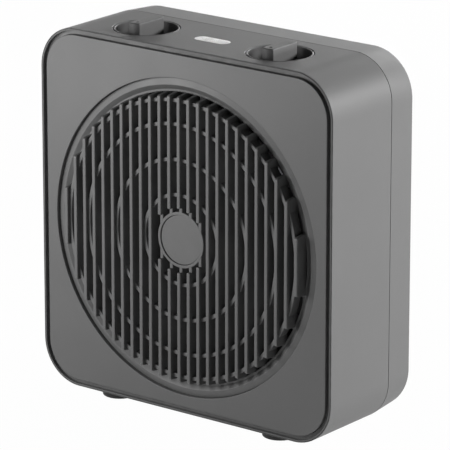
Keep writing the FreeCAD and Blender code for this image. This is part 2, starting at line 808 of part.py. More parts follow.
def motor_coil():
    # The winding and its bobbin, wrapped round the stator's top limb
    low = axis_z + yoke_below + window_h
    half = coil_l / 2
    outer = box(-half, half, stator_d - coil_t, rear_bar_d + coil_t, low - coil_t, low + limb_w + coil_t)
    outer = outer.makeFillet(coil_t / 2, [e for e in outer.Edges if e.BoundBox.XLength > half])
    inner = box(-half, half, stator_d - coil_gap, rear_bar_d + coil_gap,
                low - coil_gap, low + limb_w + coil_gap)
    return outer.cut(inner)


def motor_rotor():
    body = fan_rod(rotor_r, stator_d - rotor_over, rear_bar_d + rotor_over)
    return body.cut(fan_rod(shaft_r, stator_d - rotor_over, rear_bar_d + rotor_over))


def motor_shaft():
    return fan_rod(shaft_r, fan_d + fan_nose_t, motor_end_d + bearing_boss_l + shaft_tail)


def motor_screws():
    length = motor_end_d - bracket_d + nut_t
    return [screw_y(side * motor_screw_x, axis_z, bracket_d, False, motor_screw_r, length,
                    motor_head_r, motor_head_t) for side in (-1, 1)]


def motor_nuts():
    nuts = []
    for side in (-1, 1):
        x = side * motor_screw_x
        angles = [math.radians(60 * i) for i in range(6)]
        points = [Vector(x + nut_r * math.cos(a), y_at(motor_end_d), axis_z + nut_r * math.sin(a))
                  for a in angles]
        nut = Part.Face(Part.makePolygon(points + points[:1])).extrude(Vector(0, nut_t, 0))
        nuts.append(nut.cut(rod_y(motor_screw_r, x, axis_z, motor_end_d, motor_end_d + nut_t)))
    return nuts


def blade_section(radius, chord, pitch):
    angle = math.radians(pitch)
    along = Vector(math.cos(angle), math.sin(angle), 0)
    across = Vector(-math.sin(angle), math.cos(angle), 0)
    middle = Vector(0, y_at(fan_d + fan_l / 2), axis_z + radius)
    signs = [(-1, -1), (1, -1), (1, 1), (-1, 1)]
    points = [middle + along * (a * chord / 2) + across * (b * blade_t / 2) for a, b in signs]
    return Part.makePolygon(points + points[:1])


def fan_impeller():
    root = blade_section(fan_hub_r / 2, blade_root_chord, blade_root_pitch)
    tip = blade_section(fan_tip_r + blade_t, blade_tip_chord, blade_tip_pitch)
    swept = fan_rod(fan_tip_r, fan_d - fan_gap, fan_d + fan_l + fan_gap)
    blade = Part.makeLoft([root, tip], True, True).common(swept)
    hub = fan_rod(fan_hub_r, fan_d, fan_d + fan_l)
    hub = hub.makeFillet(fan_nose_t, edges_at_depth(hub, fan_d))
    blades = [about_axis(blade, i * 360 / blade_count) for i in range(blade_count)]
    return fuse([hub] + blades).cut(motor_shaft())


def heater_ring():
    # A steel band just inside the duct, hung on tabs at its front
    band = fan_rod(heater_ring_r, duct_front_d - tab_t, duct_front_d - tab_t + heater_ring_l)
    tabs = []
    holes = [fan_rod(heater_in_r, duct_front_d - tab_t, duct_front_d - tab_t + heater_ring_l)]
    for i in range(tab_count):
        angle = i * 360 / tab_count
        tab = box(-tab_w / 2, tab_w / 2, duct_front_d - tab_t, duct_front_d,
                  axis_z + heater_in_r - heater_ring_t, axis_z + ear_at_r + ear_r)
        tabs.append(about_axis(tab, angle))
        holes.append(about_axis(rod_y(small_screw_r + screw_gap, 0, axis_z + ear_at_r,
                                      duct_front_d - tab_t, duct_front_d), angle))
    return cut(fuse([band] + tabs), holes)


def heater_screws():
    pattern = screw_y(0, axis_z + ear_at_r, duct_front_d - tab_t, False, small_screw_r, small_screw_l,
                      small_head_r, small_head_t)
    return [about_axis(pattern, i * 360 / tab_count) for i in range(tab_count)]


def coil_ring(ring_r, tube_r, degrees):
    centre = Vector(ring_r, y_at(coil_d), axis_z)
    face = Part.Face(Part.Wire(Part.makeCircle(tube_r, centre, Vector(0, 0, 1))))
    return face.revolve(Vector(0, 0, axis_z), Vector(0, 1, 0), degrees)


def mica_frame():
    # Boards crossing on the axis, with holes that carry the coils
    low = duct_front_d - mica_ahead
    board = box(-heater_in_r + mica_gap, heater_in_r - mica_gap, low, low + mica_l,
                axis_z - mica_t / 2, axis_z + mica_t / 2)
    star = fuse([about_axis(board, i * 180 / mica_boards) for i in range(mica_boards)])
    star = star.common(fan_rod(heater_in_r - mica_gap, low, low + mica_l))
    holes = [coil_ring(r, coil_tube_r + coil_hole_gap, 360) for r in (coil_outer_ring, coil_inner_ring)]
    return cut(star, holes)


def heating_coil(ring_r):
    # The wound coil's outer shape, open where its leads would join
    return about_axis(coil_ring(ring_r, coil_tube_r, 360 - coil_open_deg), coil_start_deg)


def thermal_cutout():
    x = (coil_outer_ring + coil_inner_ring) / 2
    low = axis_z + mica_t / 2
    case = box(-x - cutout_l / 2, -x + cutout_l / 2, coil_d - cutout_w / 2, coil_d + cutout_w / 2,
               low, low + cutout_h)
    return case.makeFillet(mica_t, [e for e in case.Edges if e.BoundBox.ZLength > cutout_h / 2])


def thermal_fuse():
    x = (coil_outer_ring + coil_inner_ring) / 2
    start = Vector(x - fuse_l / 2, y_at(coil_d), axis_z + mica_t / 2 + fuse_r)
    return Part.makeCylinder(fuse_r, fuse_l, start, Vector(1, 0, 0))


def tip_switch():
    half = tip_w / 2
    case = box(-half, half, tip_d - tip_l / 2, tip_d + tip_l / 2, floor_z, floor_z + tip_h)
    ears = box(-half - tip_ear, half + tip_ear, tip_d - tip_boss_r, tip_d + tip_boss_r,
               floor_z + tip_boss_h, floor_z + tip_boss_h + tip_ear_t)
    holes = [rod_z(plunger_r + running_gap, 0, tip_d, floor_z, floor_z + tip_floor)]
    holes.append(rod_z(plunger_head_r + running_gap, 0, tip_d,
                       floor_z + tip_floor, plunger_top_z + plunger_room))
    for side in (-1, 1):
        holes.append(rod_z(small_screw_r + screw_gap, side * tip_boss_x, tip_d,
                           floor_z + tip_boss_h, floor_z + tip_boss_h + tip_ear_t))
    return cut(case.fuse(ears), holes)


def tip_plunger():
    stem = rod_z(plunger_r, 0, tip_d, plunger_lift, plunger_top_z)
    stem = stem.makeFillet(plunger_round, [e for e in stem.Edges if e.BoundBox.ZMax < base_z])
    return stem.fuse(rod_z(plunger_head_r, 0, tip_d, plunger_top_z - plunger_head_t, plunger_top_z))


def tip_switch_screws():
    return [small_screw_z(side * tip_boss_x, tip_d, floor_z + tip_boss_h + tip_ear_t, False)
            for side in (-1, 1)]


def terminal_block():
    low = floor_z + terminal_pad
    half_w, half_l = terminal_w / 2, terminal_l / 2
    block = box(terminal_x - half_w, terminal_x + half_w, terminal_d - half_l, terminal_d + half_l,
                low, low + terminal_h)
    ways = []
    for i in (-1.5, -0.5, 0.5, 1.5):
        ways.append(rod_z(terminal_way_r, terminal_x + i * terminal_w / 4, terminal_d - half_l / 2,
                          low + terminal_h / 2, low + terminal_h))
    ways.append(rod_z(small_screw_r + screw_gap, terminal_x, terminal_d, low, low + terminal_h))
    ways.append(rod_z(small_head_r + screw_gap, terminal_x, terminal_d,
                      low + small_head_t, low + terminal_h))
    return cut(block, ways)


def terminal_screw():
    return small_screw_z(terminal_x, terminal_d, floor_z + terminal_pad + small_head_t, False)


def cord_grommet():
    z = inlet_z
    pocket_d = body_d - inlet_pocket_t
    back_d = body_d - wall - inlet_pad_t
    body = fuse([
        rod_y(inlet_flange_r, -inlet_x, z, pocket_d, pocket_d + inlet_flange_t),
        rod_y(inlet_body_r, -inlet_x, z, back_d, pocket_d),
        rod_y(inlet_flange_r, -inlet_x, z, back_d - inlet_flange_t, back_d),
    ])
    return body.cut(rod_y(inlet_bore_r, -inlet_x, z, back_d - inlet_flange_t, body_d))


def wiring():
    side_x = body_w / 2 - wire_side
    control_z = control_top_z - control_h / 2
    control_side = knob_x + control_w / 2
    control_back = knob_d + control_l / 2
    terminal_top = floor_z + terminal_pad + terminal_h
    tip_z = floor_z + tip_h - 2 * wire_r
    low_bend = terminal_top + 2 * wire_bend
    high_bend = control_z - 3 * wire_bend
    clear_x = terminal_x + terminal_w / 2 - 2 * wire_bend
    coil_top = axis_z + yoke_below + window_h + limb_w + coil_t
    coil_mid_d = stator_d + stator_l / 2
    wires = [tube_along([
        (clear_x, terminal_d, terminal_top), (clear_x, terminal_d, low_bend),
        (side_x, terminal_d, low_bend + wire_bend), (side_x, terminal_d, high_bend),
        (control_side + 2 * wire_bend, terminal_d, control_z),
        (control_side, terminal_d, control_z)], wire_r, wire_bend / 2)]
    wires.append(tube_along([
        (-tip_w / 2, tip_d, tip_z), (-tip_w, tip_d, tip_z), (-side_x, tip_d, low_bend),
        (-side_x, tip_d, high_bend), (-control_side - 2 * wire_bend, tip_d, control_z),
        (-control_side, tip_d, control_z)], wire_r, wire_bend / 2))
    cross_d = tip_d + tip_l / 2 - 2 * wire_r
    wires.append(tube_along([(tip_w / 2, cross_d, tip_z), (terminal_x - terminal_w / 2, cross_d, tip_z)],
                            wire_r, wire_bend))
    for side in (-1, 1):
        x = side * (coil_l / 2 - wire_bend)
        wires.append(tube_along([
            (x, coil_mid_d, coil_top), (x, coil_mid_d, coil_top + 2 * wire_bend),
            (side * (knob_x - wire_bend), coil_mid_d, control_z),
            (side * (knob_x - wire_bend), control_back, control_z)],
            wire_r, wire_bend / 2))
    return wires


def export(node, shapes):
    shape = Part.makeCompound(shapes) if isinstance(shapes, list) else shapes
    state = "valid" if shape.isValid() else "NOT VALID"
    print(node, len(shape.Solids), "solids", round(shape.Volume), "mm3", state)
    shape.exportStep("parts/" + node + ".step")


def main():
    os.makedirs("parts", exist_ok=True)
    export("main_housing", main_housing())
    export("front_panel", front_panel())
    export("front_grille", front_grille())
    export("hub_cap", hub_cap())
    export("rear_cover", rear_cover())
    export("rubber_feet", rubber_feet())
    export("mode_knob", knob(knob_places["mode"]))
    export("mode_switch_shaft", spindle(knob_places["mode"]))
    export("mode_switch", control(knob_places["mode"]))
    export("thermostat_knob", knob(knob_places["thermostat"]))
    export("thermostat_shaft", spindle(knob_places["thermostat"]))
    export("thermostat", control(knob_places["thermostat"]))
    export("indicator_lens", indicator_lens())
    export("indicator_board", indicator_board())
    export("indicator_lamp", indicator_lamp())
    export("fan_shroud", fan_shroud())
    export("fan_impeller", fan_impeller())
    export("motor_shaft", motor_shaft())
    export("motor_rotor", motor_rotor())
    export("motor_stator", motor_stator())
    export("motor_coil", motor_coil())
    export("motor_bracket", motor_bracket())
    export("front_bearing_bracket", bearing_bracket(True))
    export("rear_bearing_bracket", bearing_bracket(False))
    export("bearing_bushes", bearing_bushes())
    export("heater_ring", heater_ring())
    export("mica_frame", mica_frame())
    export("outer_heating_coil", heating_coil(coil_outer_ring))
    export("inner_heating_coil", heating_coil(coil_inner_ring))
    export("thermal_cutout", thermal_cutout())
    export("thermal_fuse", thermal_fuse())
    export("tip_switch", tip_switch())
    export("tip_plunger", tip_plunger())
    export("terminal_block", terminal_block())
    export("cord_grommet", cord_grommet())
    export("wiring", wiring())
    export("panel_screws", panel_screws())
    export("cover_screws", cover_screws())
    export("shroud_screws", shroud_screws())
    export("bracket_screws", bracket_screws())
    export("heater_screws", heater_screws())
    export("control_screws", control_screws())
    export("board_screws", board_screws())
    export("tip_switch_screws", tip_switch_screws())
    export("terminal_screw", terminal_screw())
    export("motor_screws", motor_screws())
    export("motor_nuts", motor_nuts())


main()
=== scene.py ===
import json
import math
import bmesh
import bpy
import numpy as np
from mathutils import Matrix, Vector

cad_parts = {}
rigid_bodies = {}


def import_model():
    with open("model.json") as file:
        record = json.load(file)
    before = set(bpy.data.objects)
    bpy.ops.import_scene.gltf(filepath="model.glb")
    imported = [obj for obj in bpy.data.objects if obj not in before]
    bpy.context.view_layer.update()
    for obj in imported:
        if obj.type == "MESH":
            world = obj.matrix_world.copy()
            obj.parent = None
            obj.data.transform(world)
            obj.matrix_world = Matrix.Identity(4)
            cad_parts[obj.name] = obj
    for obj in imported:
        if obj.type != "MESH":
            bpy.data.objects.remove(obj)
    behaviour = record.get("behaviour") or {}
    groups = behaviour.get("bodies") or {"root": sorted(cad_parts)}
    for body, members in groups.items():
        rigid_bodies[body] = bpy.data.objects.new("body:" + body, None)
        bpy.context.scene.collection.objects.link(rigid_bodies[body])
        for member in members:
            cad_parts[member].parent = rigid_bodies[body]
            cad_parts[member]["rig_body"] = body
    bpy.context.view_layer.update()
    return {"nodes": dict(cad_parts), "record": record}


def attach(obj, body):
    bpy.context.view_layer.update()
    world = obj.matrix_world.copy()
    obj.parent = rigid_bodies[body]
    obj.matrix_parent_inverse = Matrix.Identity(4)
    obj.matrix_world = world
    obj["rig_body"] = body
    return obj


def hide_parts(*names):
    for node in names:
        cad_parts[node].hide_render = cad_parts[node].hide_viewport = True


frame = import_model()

nodes = frame["nodes"]
scene = bpy.context.scene
scene.view_settings.view_transform = "Standard"
tiny = 1e-9                  # keeps divisions clear of zero

# Camera: stands in front of the right-hand edge and looks down on the deck
camera = {
    "place": (1.5878, -2.0408, 0.9041),
    "turn": 0.6607,          # radians round the upright axis
    "tilt": 0.2918,          # radians below the horizon
    "lens": 320.6,
    "sensor": 36.0,
    "farthest": 20.0,
}


def addCamera(c):
    data = bpy.data.cameras.new("camera")
    data.lens = c["lens"]
    data.sensor_width = c["sensor"]
    data.clip_end = c["farthest"]
    eye = bpy.data.objects.new("camera", data)
    eye.location = c["place"]
    eye.rotation_euler = (math.pi / 2 - c["tilt"], 0, c["turn"])
    scene.collection.objects.link(eye)
    scene.camera = eye


# Shader nodes: a socket among the inputs is linked, any other value is set
def addNode(tree, kind, inputs=None, **settings):
    node = tree.nodes.new("ShaderNode" + kind)
    for name, value in settings.items():
        setattr(node, name, value)
    for name, value in (inputs or {}).items():
        if isinstance(value, bpy.types.NodeSocket):
            tree.links.new(value, node.inputs[name])
        else:
            node.inputs[name].default_value = value
    return node


def mixed(tree, share, first, second):
    # Inputs 6 and 7 and output 2 are the colours of a Mix node
    node = addNode(tree, "Mix", {0: share, 6: first, 7: second}, data_type="RGBA")
    return node.outputs[2]


def spread(tree, value, low, high, start, end, **settings):
    # Carries the range low to high onto start to end
    names = {"Value": value, "From Min": low, "From Max": high, "To Min": start, "To Max": end}
    return addNode(tree, "MapRange", names, **settings).outputs[0]


def joined(tree, operation, first, second, **settings):
    return addNode(tree, "Math", {0: first, 1: second}, operation=operation, **settings).outputs[0]


def product(tree, first, second):
    return joined(tree, "MULTIPLY", first, second)


def grey(v):
    return (v, v, v, 1)


# Studio: a pale floor, a surround that is white low down and dim overhead, and soft boxes
studio = {
    "fill": 0.0,             # light from the surround on matt surfaces
    "low": 0.04,             # sine of the height where the white ends
    "high": 0.34,            # and where the dim part begins
    "overhead": 0.06,
    "floorSize": 6.0,
    "floorGrey": 0.6,
    "floorGlow": 0.985,      # share of plain white in the floor as the camera sees it
    "lamps": [
        {"name": "key", "at": (-0.34, -0.46, 0.25), "aim": (0, 0, 0.14),
         "size": (0.25, 0.35), "watts": 1.88},
        {"name": "low right", "at": (1.5, 0.55, 0.12), "aim": (0.12, 0, 0.12),
         "size": (0.8, 0.2), "watts": 8.6},
        {"name": "right back", "at": (1.45, 1.25, 0.82), "aim": (0, 0, 0.22),
         "size": (0.8, 0.4), "watts": 33.5},
        {"name": "back wall", "at": (-0.5, 2.4, 0.8), "aim": (0, 0, 0.2),
         "size": (1.1, 0.8), "watts": 44},
        {"name": "far left", "at": (-1.22, 1.58, 0.5), "aim": (0, 0, 0.25),
         "size": (0.8, 0.15), "watts": 3.2},
    ],
}


def addLamp(lamp):
    data = bpy.data.lights.new(lamp["name"], "AREA")
    data.shape = "RECTANGLE"
    data.size, data.size_y = lamp["size"]
    data.energy = lamp["watts"]
    obj = bpy.data.objects.new(lamp["name"], data)
    obj.location = lamp["at"]
    aim = Vector(lamp["aim"]) - Vector(lamp["at"])
    obj.rotation_euler = aim.to_track_quat("-Z", "Y").to_euler()
    scene.collection.objects.link(obj)


def seenDirectly(tree):
    # 1 for camera, mirror and glass rays, 0 for rays that carry light
    path = addNode(tree, "LightPath").outputs
    first = joined(tree, "MAXIMUM", path["Is Camera Ray"], path["Is Glossy Ray"])
    return joined(tree, "MAXIMUM", first, path["Is Transmission Ray"])


def surround(s):
    world = bpy.data.worlds.new("surround")
    world.use_nodes = True
    tree = world.node_tree
    tree.nodes.clear()
    way = addNode(tree, "TexCoord").outputs["Generated"]
    height = addNode(tree, "SeparateXYZ", {0: way}).outputs["Z"]
    fade = spread(tree, height, s["low"], s["high"], 1.0, s["overhead"], interpolation_type="SMOOTHSTEP")
    pale = addNode(tree, "Background", {"Color": fade, "Strength": 1.0}).outputs[0]
    light = addNode(tree, "Background", {"Color": grey(1), "Strength": s["fill"]}).outputs[0]
    mix = addNode(tree, "MixShader", {0: seenDirectly(tree), 1: light, 2: pale}).outputs[0]
    addNode(tree, "OutputWorld", {0: mix})
    scene.world = world


def floor(s):
    half = s["floorSize"] / 2
    mesh = bpy.data.meshes.new("floor")
    corners = [(-half, -half, 0), (half, -half, 0), (half, half, 0), (-half, half, 0)]
    mesh.from_pydata(corners, [], [(0, 1, 2, 3)])
    obj = bpy.data.objects.new("floor", mesh)
    scene.collection.objects.link(obj)
    mat = bpy.data.materials.new("floor")
    mat.use_nodes = True
    tree = mat.node_tree
    tree.nodes.clear()
    matt = addNode(tree, "BsdfDiffuse", {"Color": grey(s["floorGrey"])}).outputs[0]
    glow = addNode(tree, "Emission").outputs[0]
    share = product(tree, seenDirectly(tree), s["floorGlow"])
    mix = addNode(tree, "MixShader", {0: share, 1: matt, 2: glow}).outputs[0]
    addNode(tree, "OutputMaterial", {0: mix})
    mesh.materials.append(mat)


# Finishes: colours are linear, scales are repeats in a metre.
# Groups come first, then a material for each slot
noiseSpan = (0.3, 0.7)       # most of a noise pattern lies between these
bumpHeight = 0.0003          # metres, at full strength


def clouds(tree, place, scale, detail):
    return addNode(tree, "TexNoise", {"Vector": place, "Scale": scale, "Detail": detail}).outputs[0]


def newGroup(name, inputs):
    # A group with named inputs that puts out a colour, a roughness and a height
    tree = bpy.data.node_groups.new(name, "ShaderNodeTree")
    for label, value in inputs.items():
        kind = "NodeSocketColor" if isinstance(value, tuple) else "NodeSocketFloat"
        tree.interface.new_socket(label, in_out="INPUT", socket_type=kind).default_value = value
    tree.interface.new_socket("Color", in_out="OUTPUT", socket_type="NodeSocketColor")
    tree.interface.new_socket("Roughness", in_out="OUTPUT", socket_type="NodeSocketFloat")
    tree.interface.new_socket("Height", in_out="OUTPUT", socket_type="NodeSocketFloat")
    given = tree.nodes.new("NodeGroupInput").outputs
    place = addNode(tree, "TexCoord").outputs["Object"]
    return tree, given, place


def putOut(tree, colour, rough, height):
    out = tree.nodes.new("NodeGroupOutput")
    for name, socket in (("Color", colour), ("Roughness", rough), ("Height", height)):
        tree.links.new(socket, out.inputs[name])
    return tree


moulded = {
    "cloudDetail": 4,
    "grainDetail": 2,
    "speck": 0.25,           # how far the grain moves the tone
    "patchScale": 140,       # rubbed edges, and the highlight painted on them, come and go in patches
    "patchDetail": 4,
    "patchSpan": (0.42, 0.62),
    "leastPatch": 0.1,
    "rubbedRough": 0.7,      # roughness of a fully rubbed edge, as a share
}


def mouldedGrain(m):
    # Plastic from a sparked mould: slow clouds of tone, a fine grain, and convex edges rubbed smoother and
    # painted paler, partly as wear and partly as a painted highlight
    tree, given, place = newGroup("moulded grain", {
        "Dark": grey(0.1), "Light": grey(0.2), "Rubbed And Highlit": grey(0.3), "Cloud Scale": 20.0,
        "Grain Scale": 2000.0, "Smooth": 0.4, "Matt": 0.5, "Wear And Highlight": 0.3})
    cloud = spread(tree, clouds(tree, place, given["Cloud Scale"], m["cloudDetail"]), *noiseSpan, 0, 1)
    grain = clouds(tree, place, given["Grain Scale"], m["grainDetail"])
    patches = clouds(tree, place, m["patchScale"], m["patchDetail"])
    patches = spread(tree, patches, *m["patchSpan"], m["leastPatch"], 1)
    edge = addNode(tree, "Attribute", attribute_name="edge").outputs["Fac"]
    # The edge mask, broken into patches, mixes the colour towards a paler one: partly rubbed wear, partly a
    # painted highlight
    wearAndHighlight = product(tree, product(tree, edge, patches), given["Wear And Highlight"])
    speck = spread(tree, grain, *noiseSpan, -m["speck"], m["speck"])
    tone = joined(tree, "ADD", cloud, speck, use_clamp=True)
    colour = mixed(tree, wearAndHighlight, mixed(tree, tone, given["Dark"], given["Light"]), given["Rubbed And Highlit"])
    rough = spread(tree, tone, 0, 1, given["Smooth"], given["Matt"])
    polished = product(tree, rough, spread(tree, wearAndHighlight, 0, 1, 1, m["rubbedRough"]))
    return putOut(tree, colour, polished, grain)


drawn = {
    "along": (1, 0.06, 1),   # streaks run from front to back
    "streakDetail": 3,
    "stainDetail": 5,
    "stainSpan": (0.45, 0.7),
}


def drawnMetal(m):
    # Rolled or drawn metal: long fine streaks, and stains where it was plated, greased or heated
    tree, given, place = newGroup("drawn metal", {
        "Dark": grey(0.4), "Light": grey(0.6), "Stain": grey(0.3), "Streak Scale": 900.0,
        "Stain Scale": 60.0, "Stain Share": 0.3, "Smooth": 0.25, "Matt": 0.45})
    long = addNode(tree, "Mapping", {"Vector": place, "Scale": m["along"]}).outputs[0]
    streak = spread(tree, clouds(tree, long, given["Streak Scale"], m["streakDetail"]), *noiseSpan, 0, 1)
    blot = spread(tree, clouds(tree, place, given["Stain Scale"], m["stainDetail"]), *m["stainSpan"], 0, 1)
    stain = product(tree, blot, given["Stain Share"])
    colour = mixed(tree, stain, mixed(tree, streak, given["Dark"], given["Light"]), given["Stain"])
    both = joined(tree, "MAXIMUM", streak, stain)
    rough = spread(tree, both, 0, 1, given["Smooth"], given["Matt"])
    return putOut(tree, colour, rough, streak)


pressed = {
    "cloudShare": 0.08,      # scale of the clouds as a share of the cells'
    "cloudDetail": 4,
    "cloudTone": 0.4,        # how far the clouds move the tone
}


def pressedFlecks(m):
    # Grains or flakes pressed together: each cell has its own tone, some are a second colour
    tree, given, place = newGroup("pressed flecks", {
        "Dark": grey(0.4), "Light": grey(0.6), "Fleck": grey(0.2), "Cell Scale": 900.0,
        "Fleck Share": 0.2, "Smooth": 0.3, "Matt": 0.6})
    cells = addNode(tree, "TexVoronoi", {"Vector": place, "Scale": given["Cell Scale"]})
    parts = addNode(tree, "SeparateColor", {0: cells.outputs["Color"]}).outputs
    chosen = joined(tree, "LESS_THAN", parts[1], given["Fleck Share"])
    cloud = clouds(tree, place, product(tree, given["Cell Scale"], m["cloudShare"]), m["cloudDetail"])
    shift = spread(tree, cloud, *noiseSpan, -m["cloudTone"], m["cloudTone"])
    tone = joined(tree, "ADD", parts[0], shift, use_clamp=True)
    colour = mixed(tree, chosen, mixed(tree, tone, given["Dark"], given["Light"]), given["Fleck"])
    rough = spread(tree, parts[2], 0, 1, given["Smooth"], given["Matt"])
    return putOut(tree, colour, rough, cells.outputs["Distance"])


stacked = {
    "wander": {"Distortion": 0.8, "Detail": 2, "Detail Scale": 0.4},
    "cloudScale": 110,
    "cloudDetail": 4,
    "leastCloud": 0.55,
}


def stackedLayers(m):
    # Thin layers stacked from front to back, as motor sheets or turns of wire are, with a wandering edge
    tree, given, place = newGroup("stacked layers", {
        "Dark": grey(0.2), "Light": grey(0.4), "Layer Scale": 300.0, "Smooth": 0.3, "Matt": 0.5})
    bands = {"Vector": place, "Scale": given["Layer Scale"], **m["wander"]}
    wave = addNode(tree, "TexWave", bands, bands_direction="Y").outputs[1]
    cloud = clouds(tree, place, m["cloudScale"], m["cloudDetail"])
    tone = product(tree, wave, spread(tree, cloud, *noiseSpan, m["leastCloud"], 1))
    colour = mixed(tree, tone, given["Dark"], given["Light"])
    rough = spread(tree, tone, 0, 1, given["Matt"], given["Smooth"])
    return putOut(tree, colour, rough, wave)


# Each plastic's edge colour is paler than its body: partly rubbed wear, partly a painted highlight on convex
# edges
plasticFinishes = {
    "body_plastic": {
        "Dark": grey(0.153), "Light": grey(0.163), "Rubbed And Highlit": grey(0.29),
        "Cloud Scale": 26, "Grain Scale": 2200,
        "Smooth": 0.53, "Matt": 0.58, "Wear And Highlight": 0.50, "bump": 0.10},
    "panel_plastic": {
        "Dark": grey(0.154), "Light": grey(0.168), "Rubbed And Highlit": grey(0.25),
        "Cloud Scale": 22, "Grain Scale": 2600,
        "Smooth": 0.40, "Matt": 0.48, "Wear And Highlight": 0.30, "bump": 0.08},
    "grille_plastic": {
        "Dark": grey(0.158), "Light": grey(0.178), "Rubbed And Highlit": grey(0.24),
        "Cloud Scale": 60, "Grain Scale": 2400,
        "Smooth": 0.40, "Matt": 0.50, "Wear And Highlight": 0.22, "bump": 0.08},
    "knob_plastic": {
        "Dark": grey(0.150), "Light": grey(0.166), "Rubbed And Highlit": grey(0.26),
        "Cloud Scale": 70, "Grain Scale": 2600,
        "Smooth": 0.54, "Matt": 0.64, "Wear And Highlight": 0.30, "bump": 0.08},
    "foot_rubber": {
        "Dark": grey(0.022), "Light": grey(0.036), "Rubbed And Highlit": grey(0.07),
        "Cloud Scale": 120, "Grain Scale": 1600,
        "Smooth": 0.68, "Matt": 0.86, "Wear And Highlight": 0.7, "bump": 0.25},
    "control_plastic": {
        "Dark": (0.62, 0.57, 0.46, 1), "Light": (0.74, 0.70, 0.60, 1), "Rubbed And Highlit": (0.8, 0.77, 0.7, 1),
        "Cloud Scale": 80, "Grain Scale": 1800,
        "Smooth": 0.45, "Matt": 0.62, "Wear And Highlight": 0.3, "bump": 0.12},
    "fan_plastic": {
        "Dark": grey(0.024), "Light": grey(0.034), "Rubbed And Highlit": grey(0.06),
        "Cloud Scale": 60, "Grain Scale": 1500,
        "Smooth": 0.42, "Matt": 0.56, "Wear And Highlight": 0.3, "bump": 0.10},
    "wire_sheath": {
        "Dark": (0.52, 0.52, 0.55, 1), "Light": (0.64, 0.64, 0.66, 1), "Rubbed And Highlit": (0.7, 0.7, 0.7, 1),
        "Cloud Scale": 90, "Grain Scale": 1200,
        "Smooth": 0.38, "Matt": 0.55, "Wear And Highlight": 0.2, "bump": 0.15},
}

metalFinishes = {
    "steel": {
        "Dark": (0.46, 0.46, 0.47, 1), "Light": (0.60, 0.60, 0.61, 1), "Stain": (0.42, 0.40, 0.34, 1),
        "Streak Scale": 900, "Stain Scale": 70, "Stain Share": 0.35,
        "Smooth": 0.28, "Matt": 0.48, "bump": 0.06},
    "heated_steel": {
        "Dark": (0.10, 0.095, 0.10, 1), "Light": (0.20, 0.19, 0.185, 1), "Stain": (0.10, 0.08, 0.11, 1),
        "Streak Scale": 700, "Stain Scale": 40, "Stain Share": 0.8,
        "Smooth": 0.38, "Matt": 0.6, "bump": 0.06},
    "resistance_wire": {
        "Dark": (0.20, 0.18, 0.17, 1), "Light": (0.38, 0.36, 0.35, 1), "Stain": (0.13, 0.12, 0.15, 1),
        "Streak Scale": 1500, "Stain Scale": 160, "Stain Share": 0.7,
        "Smooth": 0.35, "Matt": 0.6, "bump": 0.10},
}

fleckFinishes = {
    "mica": {
        "Dark": (0.10, 0.085, 0.06, 1), "Light": (0.20, 0.175, 0.13, 1), "Fleck": (0.34, 0.30, 0.22, 1),
        "Cell Scale": 420, "Fleck Share": 0.18,
        "Smooth": 0.35, "Matt": 0.65, "bump": 0.20, "metal": 0},
    "cast_zinc": {
        "Dark": (0.50, 0.50, 0.52, 1), "Light": (0.64, 0.64, 0.66, 1), "Fleck": (0.42, 0.42, 0.44, 1),
        "Cell Scale": 1100, "Fleck Share": 0.15,
        "Smooth": 0.38, "Matt": 0.58, "bump": 0.12, "metal": 1},
    "bronze": {
        "Dark": (0.52, 0.36, 0.17, 1), "Light": (0.68, 0.50, 0.26, 1), "Fleck": (0.22, 0.15, 0.08, 1),
        "Cell Scale": 2600, "Fleck Share": 0.22,
        "Smooth": 0.36, "Matt": 0.6, "bump": 0.18, "metal": 1},
    "board_laminate": {
        "Dark": (0.05, 0.18, 0.07, 1), "Light": (0.08, 0.26, 0.11, 1), "Fleck": (0.11, 0.30, 0.14, 1),
        "Cell Scale": 1500, "Fleck Share": 0.2,
        "Smooth": 0.25, "Matt": 0.4, "bump": 0.05, "metal": 0},
}

layerFinishes = {
    "lamination_steel": {
        "Dark": (0.10, 0.10, 0.11, 1), "Light": (0.36, 0.36, 0.38, 1), "Layer Scale": 600,
        "Smooth": 0.32, "Matt": 0.6, "bump": 0.30, "metal": 0.9},
    "winding": {
        "Dark": (0.16, 0.05, 0.02, 1), "Light": (0.58, 0.26, 0.12, 1), "Layer Scale": 900,
        "Smooth": 0.25, "Matt": 0.45, "bump": 0.35, "metal": 0.6},
}


def finish(slot, group, values):
    # The group's colour, roughness and height go to the shader; plain values sit on the shader itself
    mat = bpy.data.materials.new(slot)
    mat.use_nodes = True
    tree = mat.node_tree
    shader = tree.nodes["Principled BSDF"]
    surface = addNode(tree, "Group", node_tree=group)
    for name, value in values.items():
        if name in surface.inputs:
            surface.inputs[name].default_value = value
    height = {"Height": surface.outputs["Height"], "Strength": values["bump"], "Distance": bumpHeight}
    bump = addNode(tree, "Bump", height)
    shader.inputs["Metallic"].default_value = values.get("metal", 0)
    tree.links.new(surface.outputs["Color"], shader.inputs["Base Color"])
    tree.links.new(surface.outputs["Roughness"], shader.inputs["Roughness"])
    tree.links.new(bump.outputs[0], shader.inputs["Normal"])
    return mat


milkyLens = {
    "Dark": grey(0.92), "Light": grey(0.97), "Rubbed And Highlit": grey(0.97),
    "Cloud Scale": 90, "Grain Scale": 2600,
    "Smooth": 0.22, "Matt": 0.32, "Wear And Highlight": 0.2, "bump": 0.04,
    "scatter": 0.15, "reach": 0.002,
}


def lensFinish(group, values):
    # Milky plastic: light sinks in a few millimetres and comes out again
    mat = finish("lens_plastic", group, values)
    shader = mat.node_tree.nodes["Principled BSDF"]
    shader.inputs["Subsurface Weight"].default_value = values["scatter"]
    shader.inputs["Subsurface Scale"].default_value = values["reach"]
    return mat


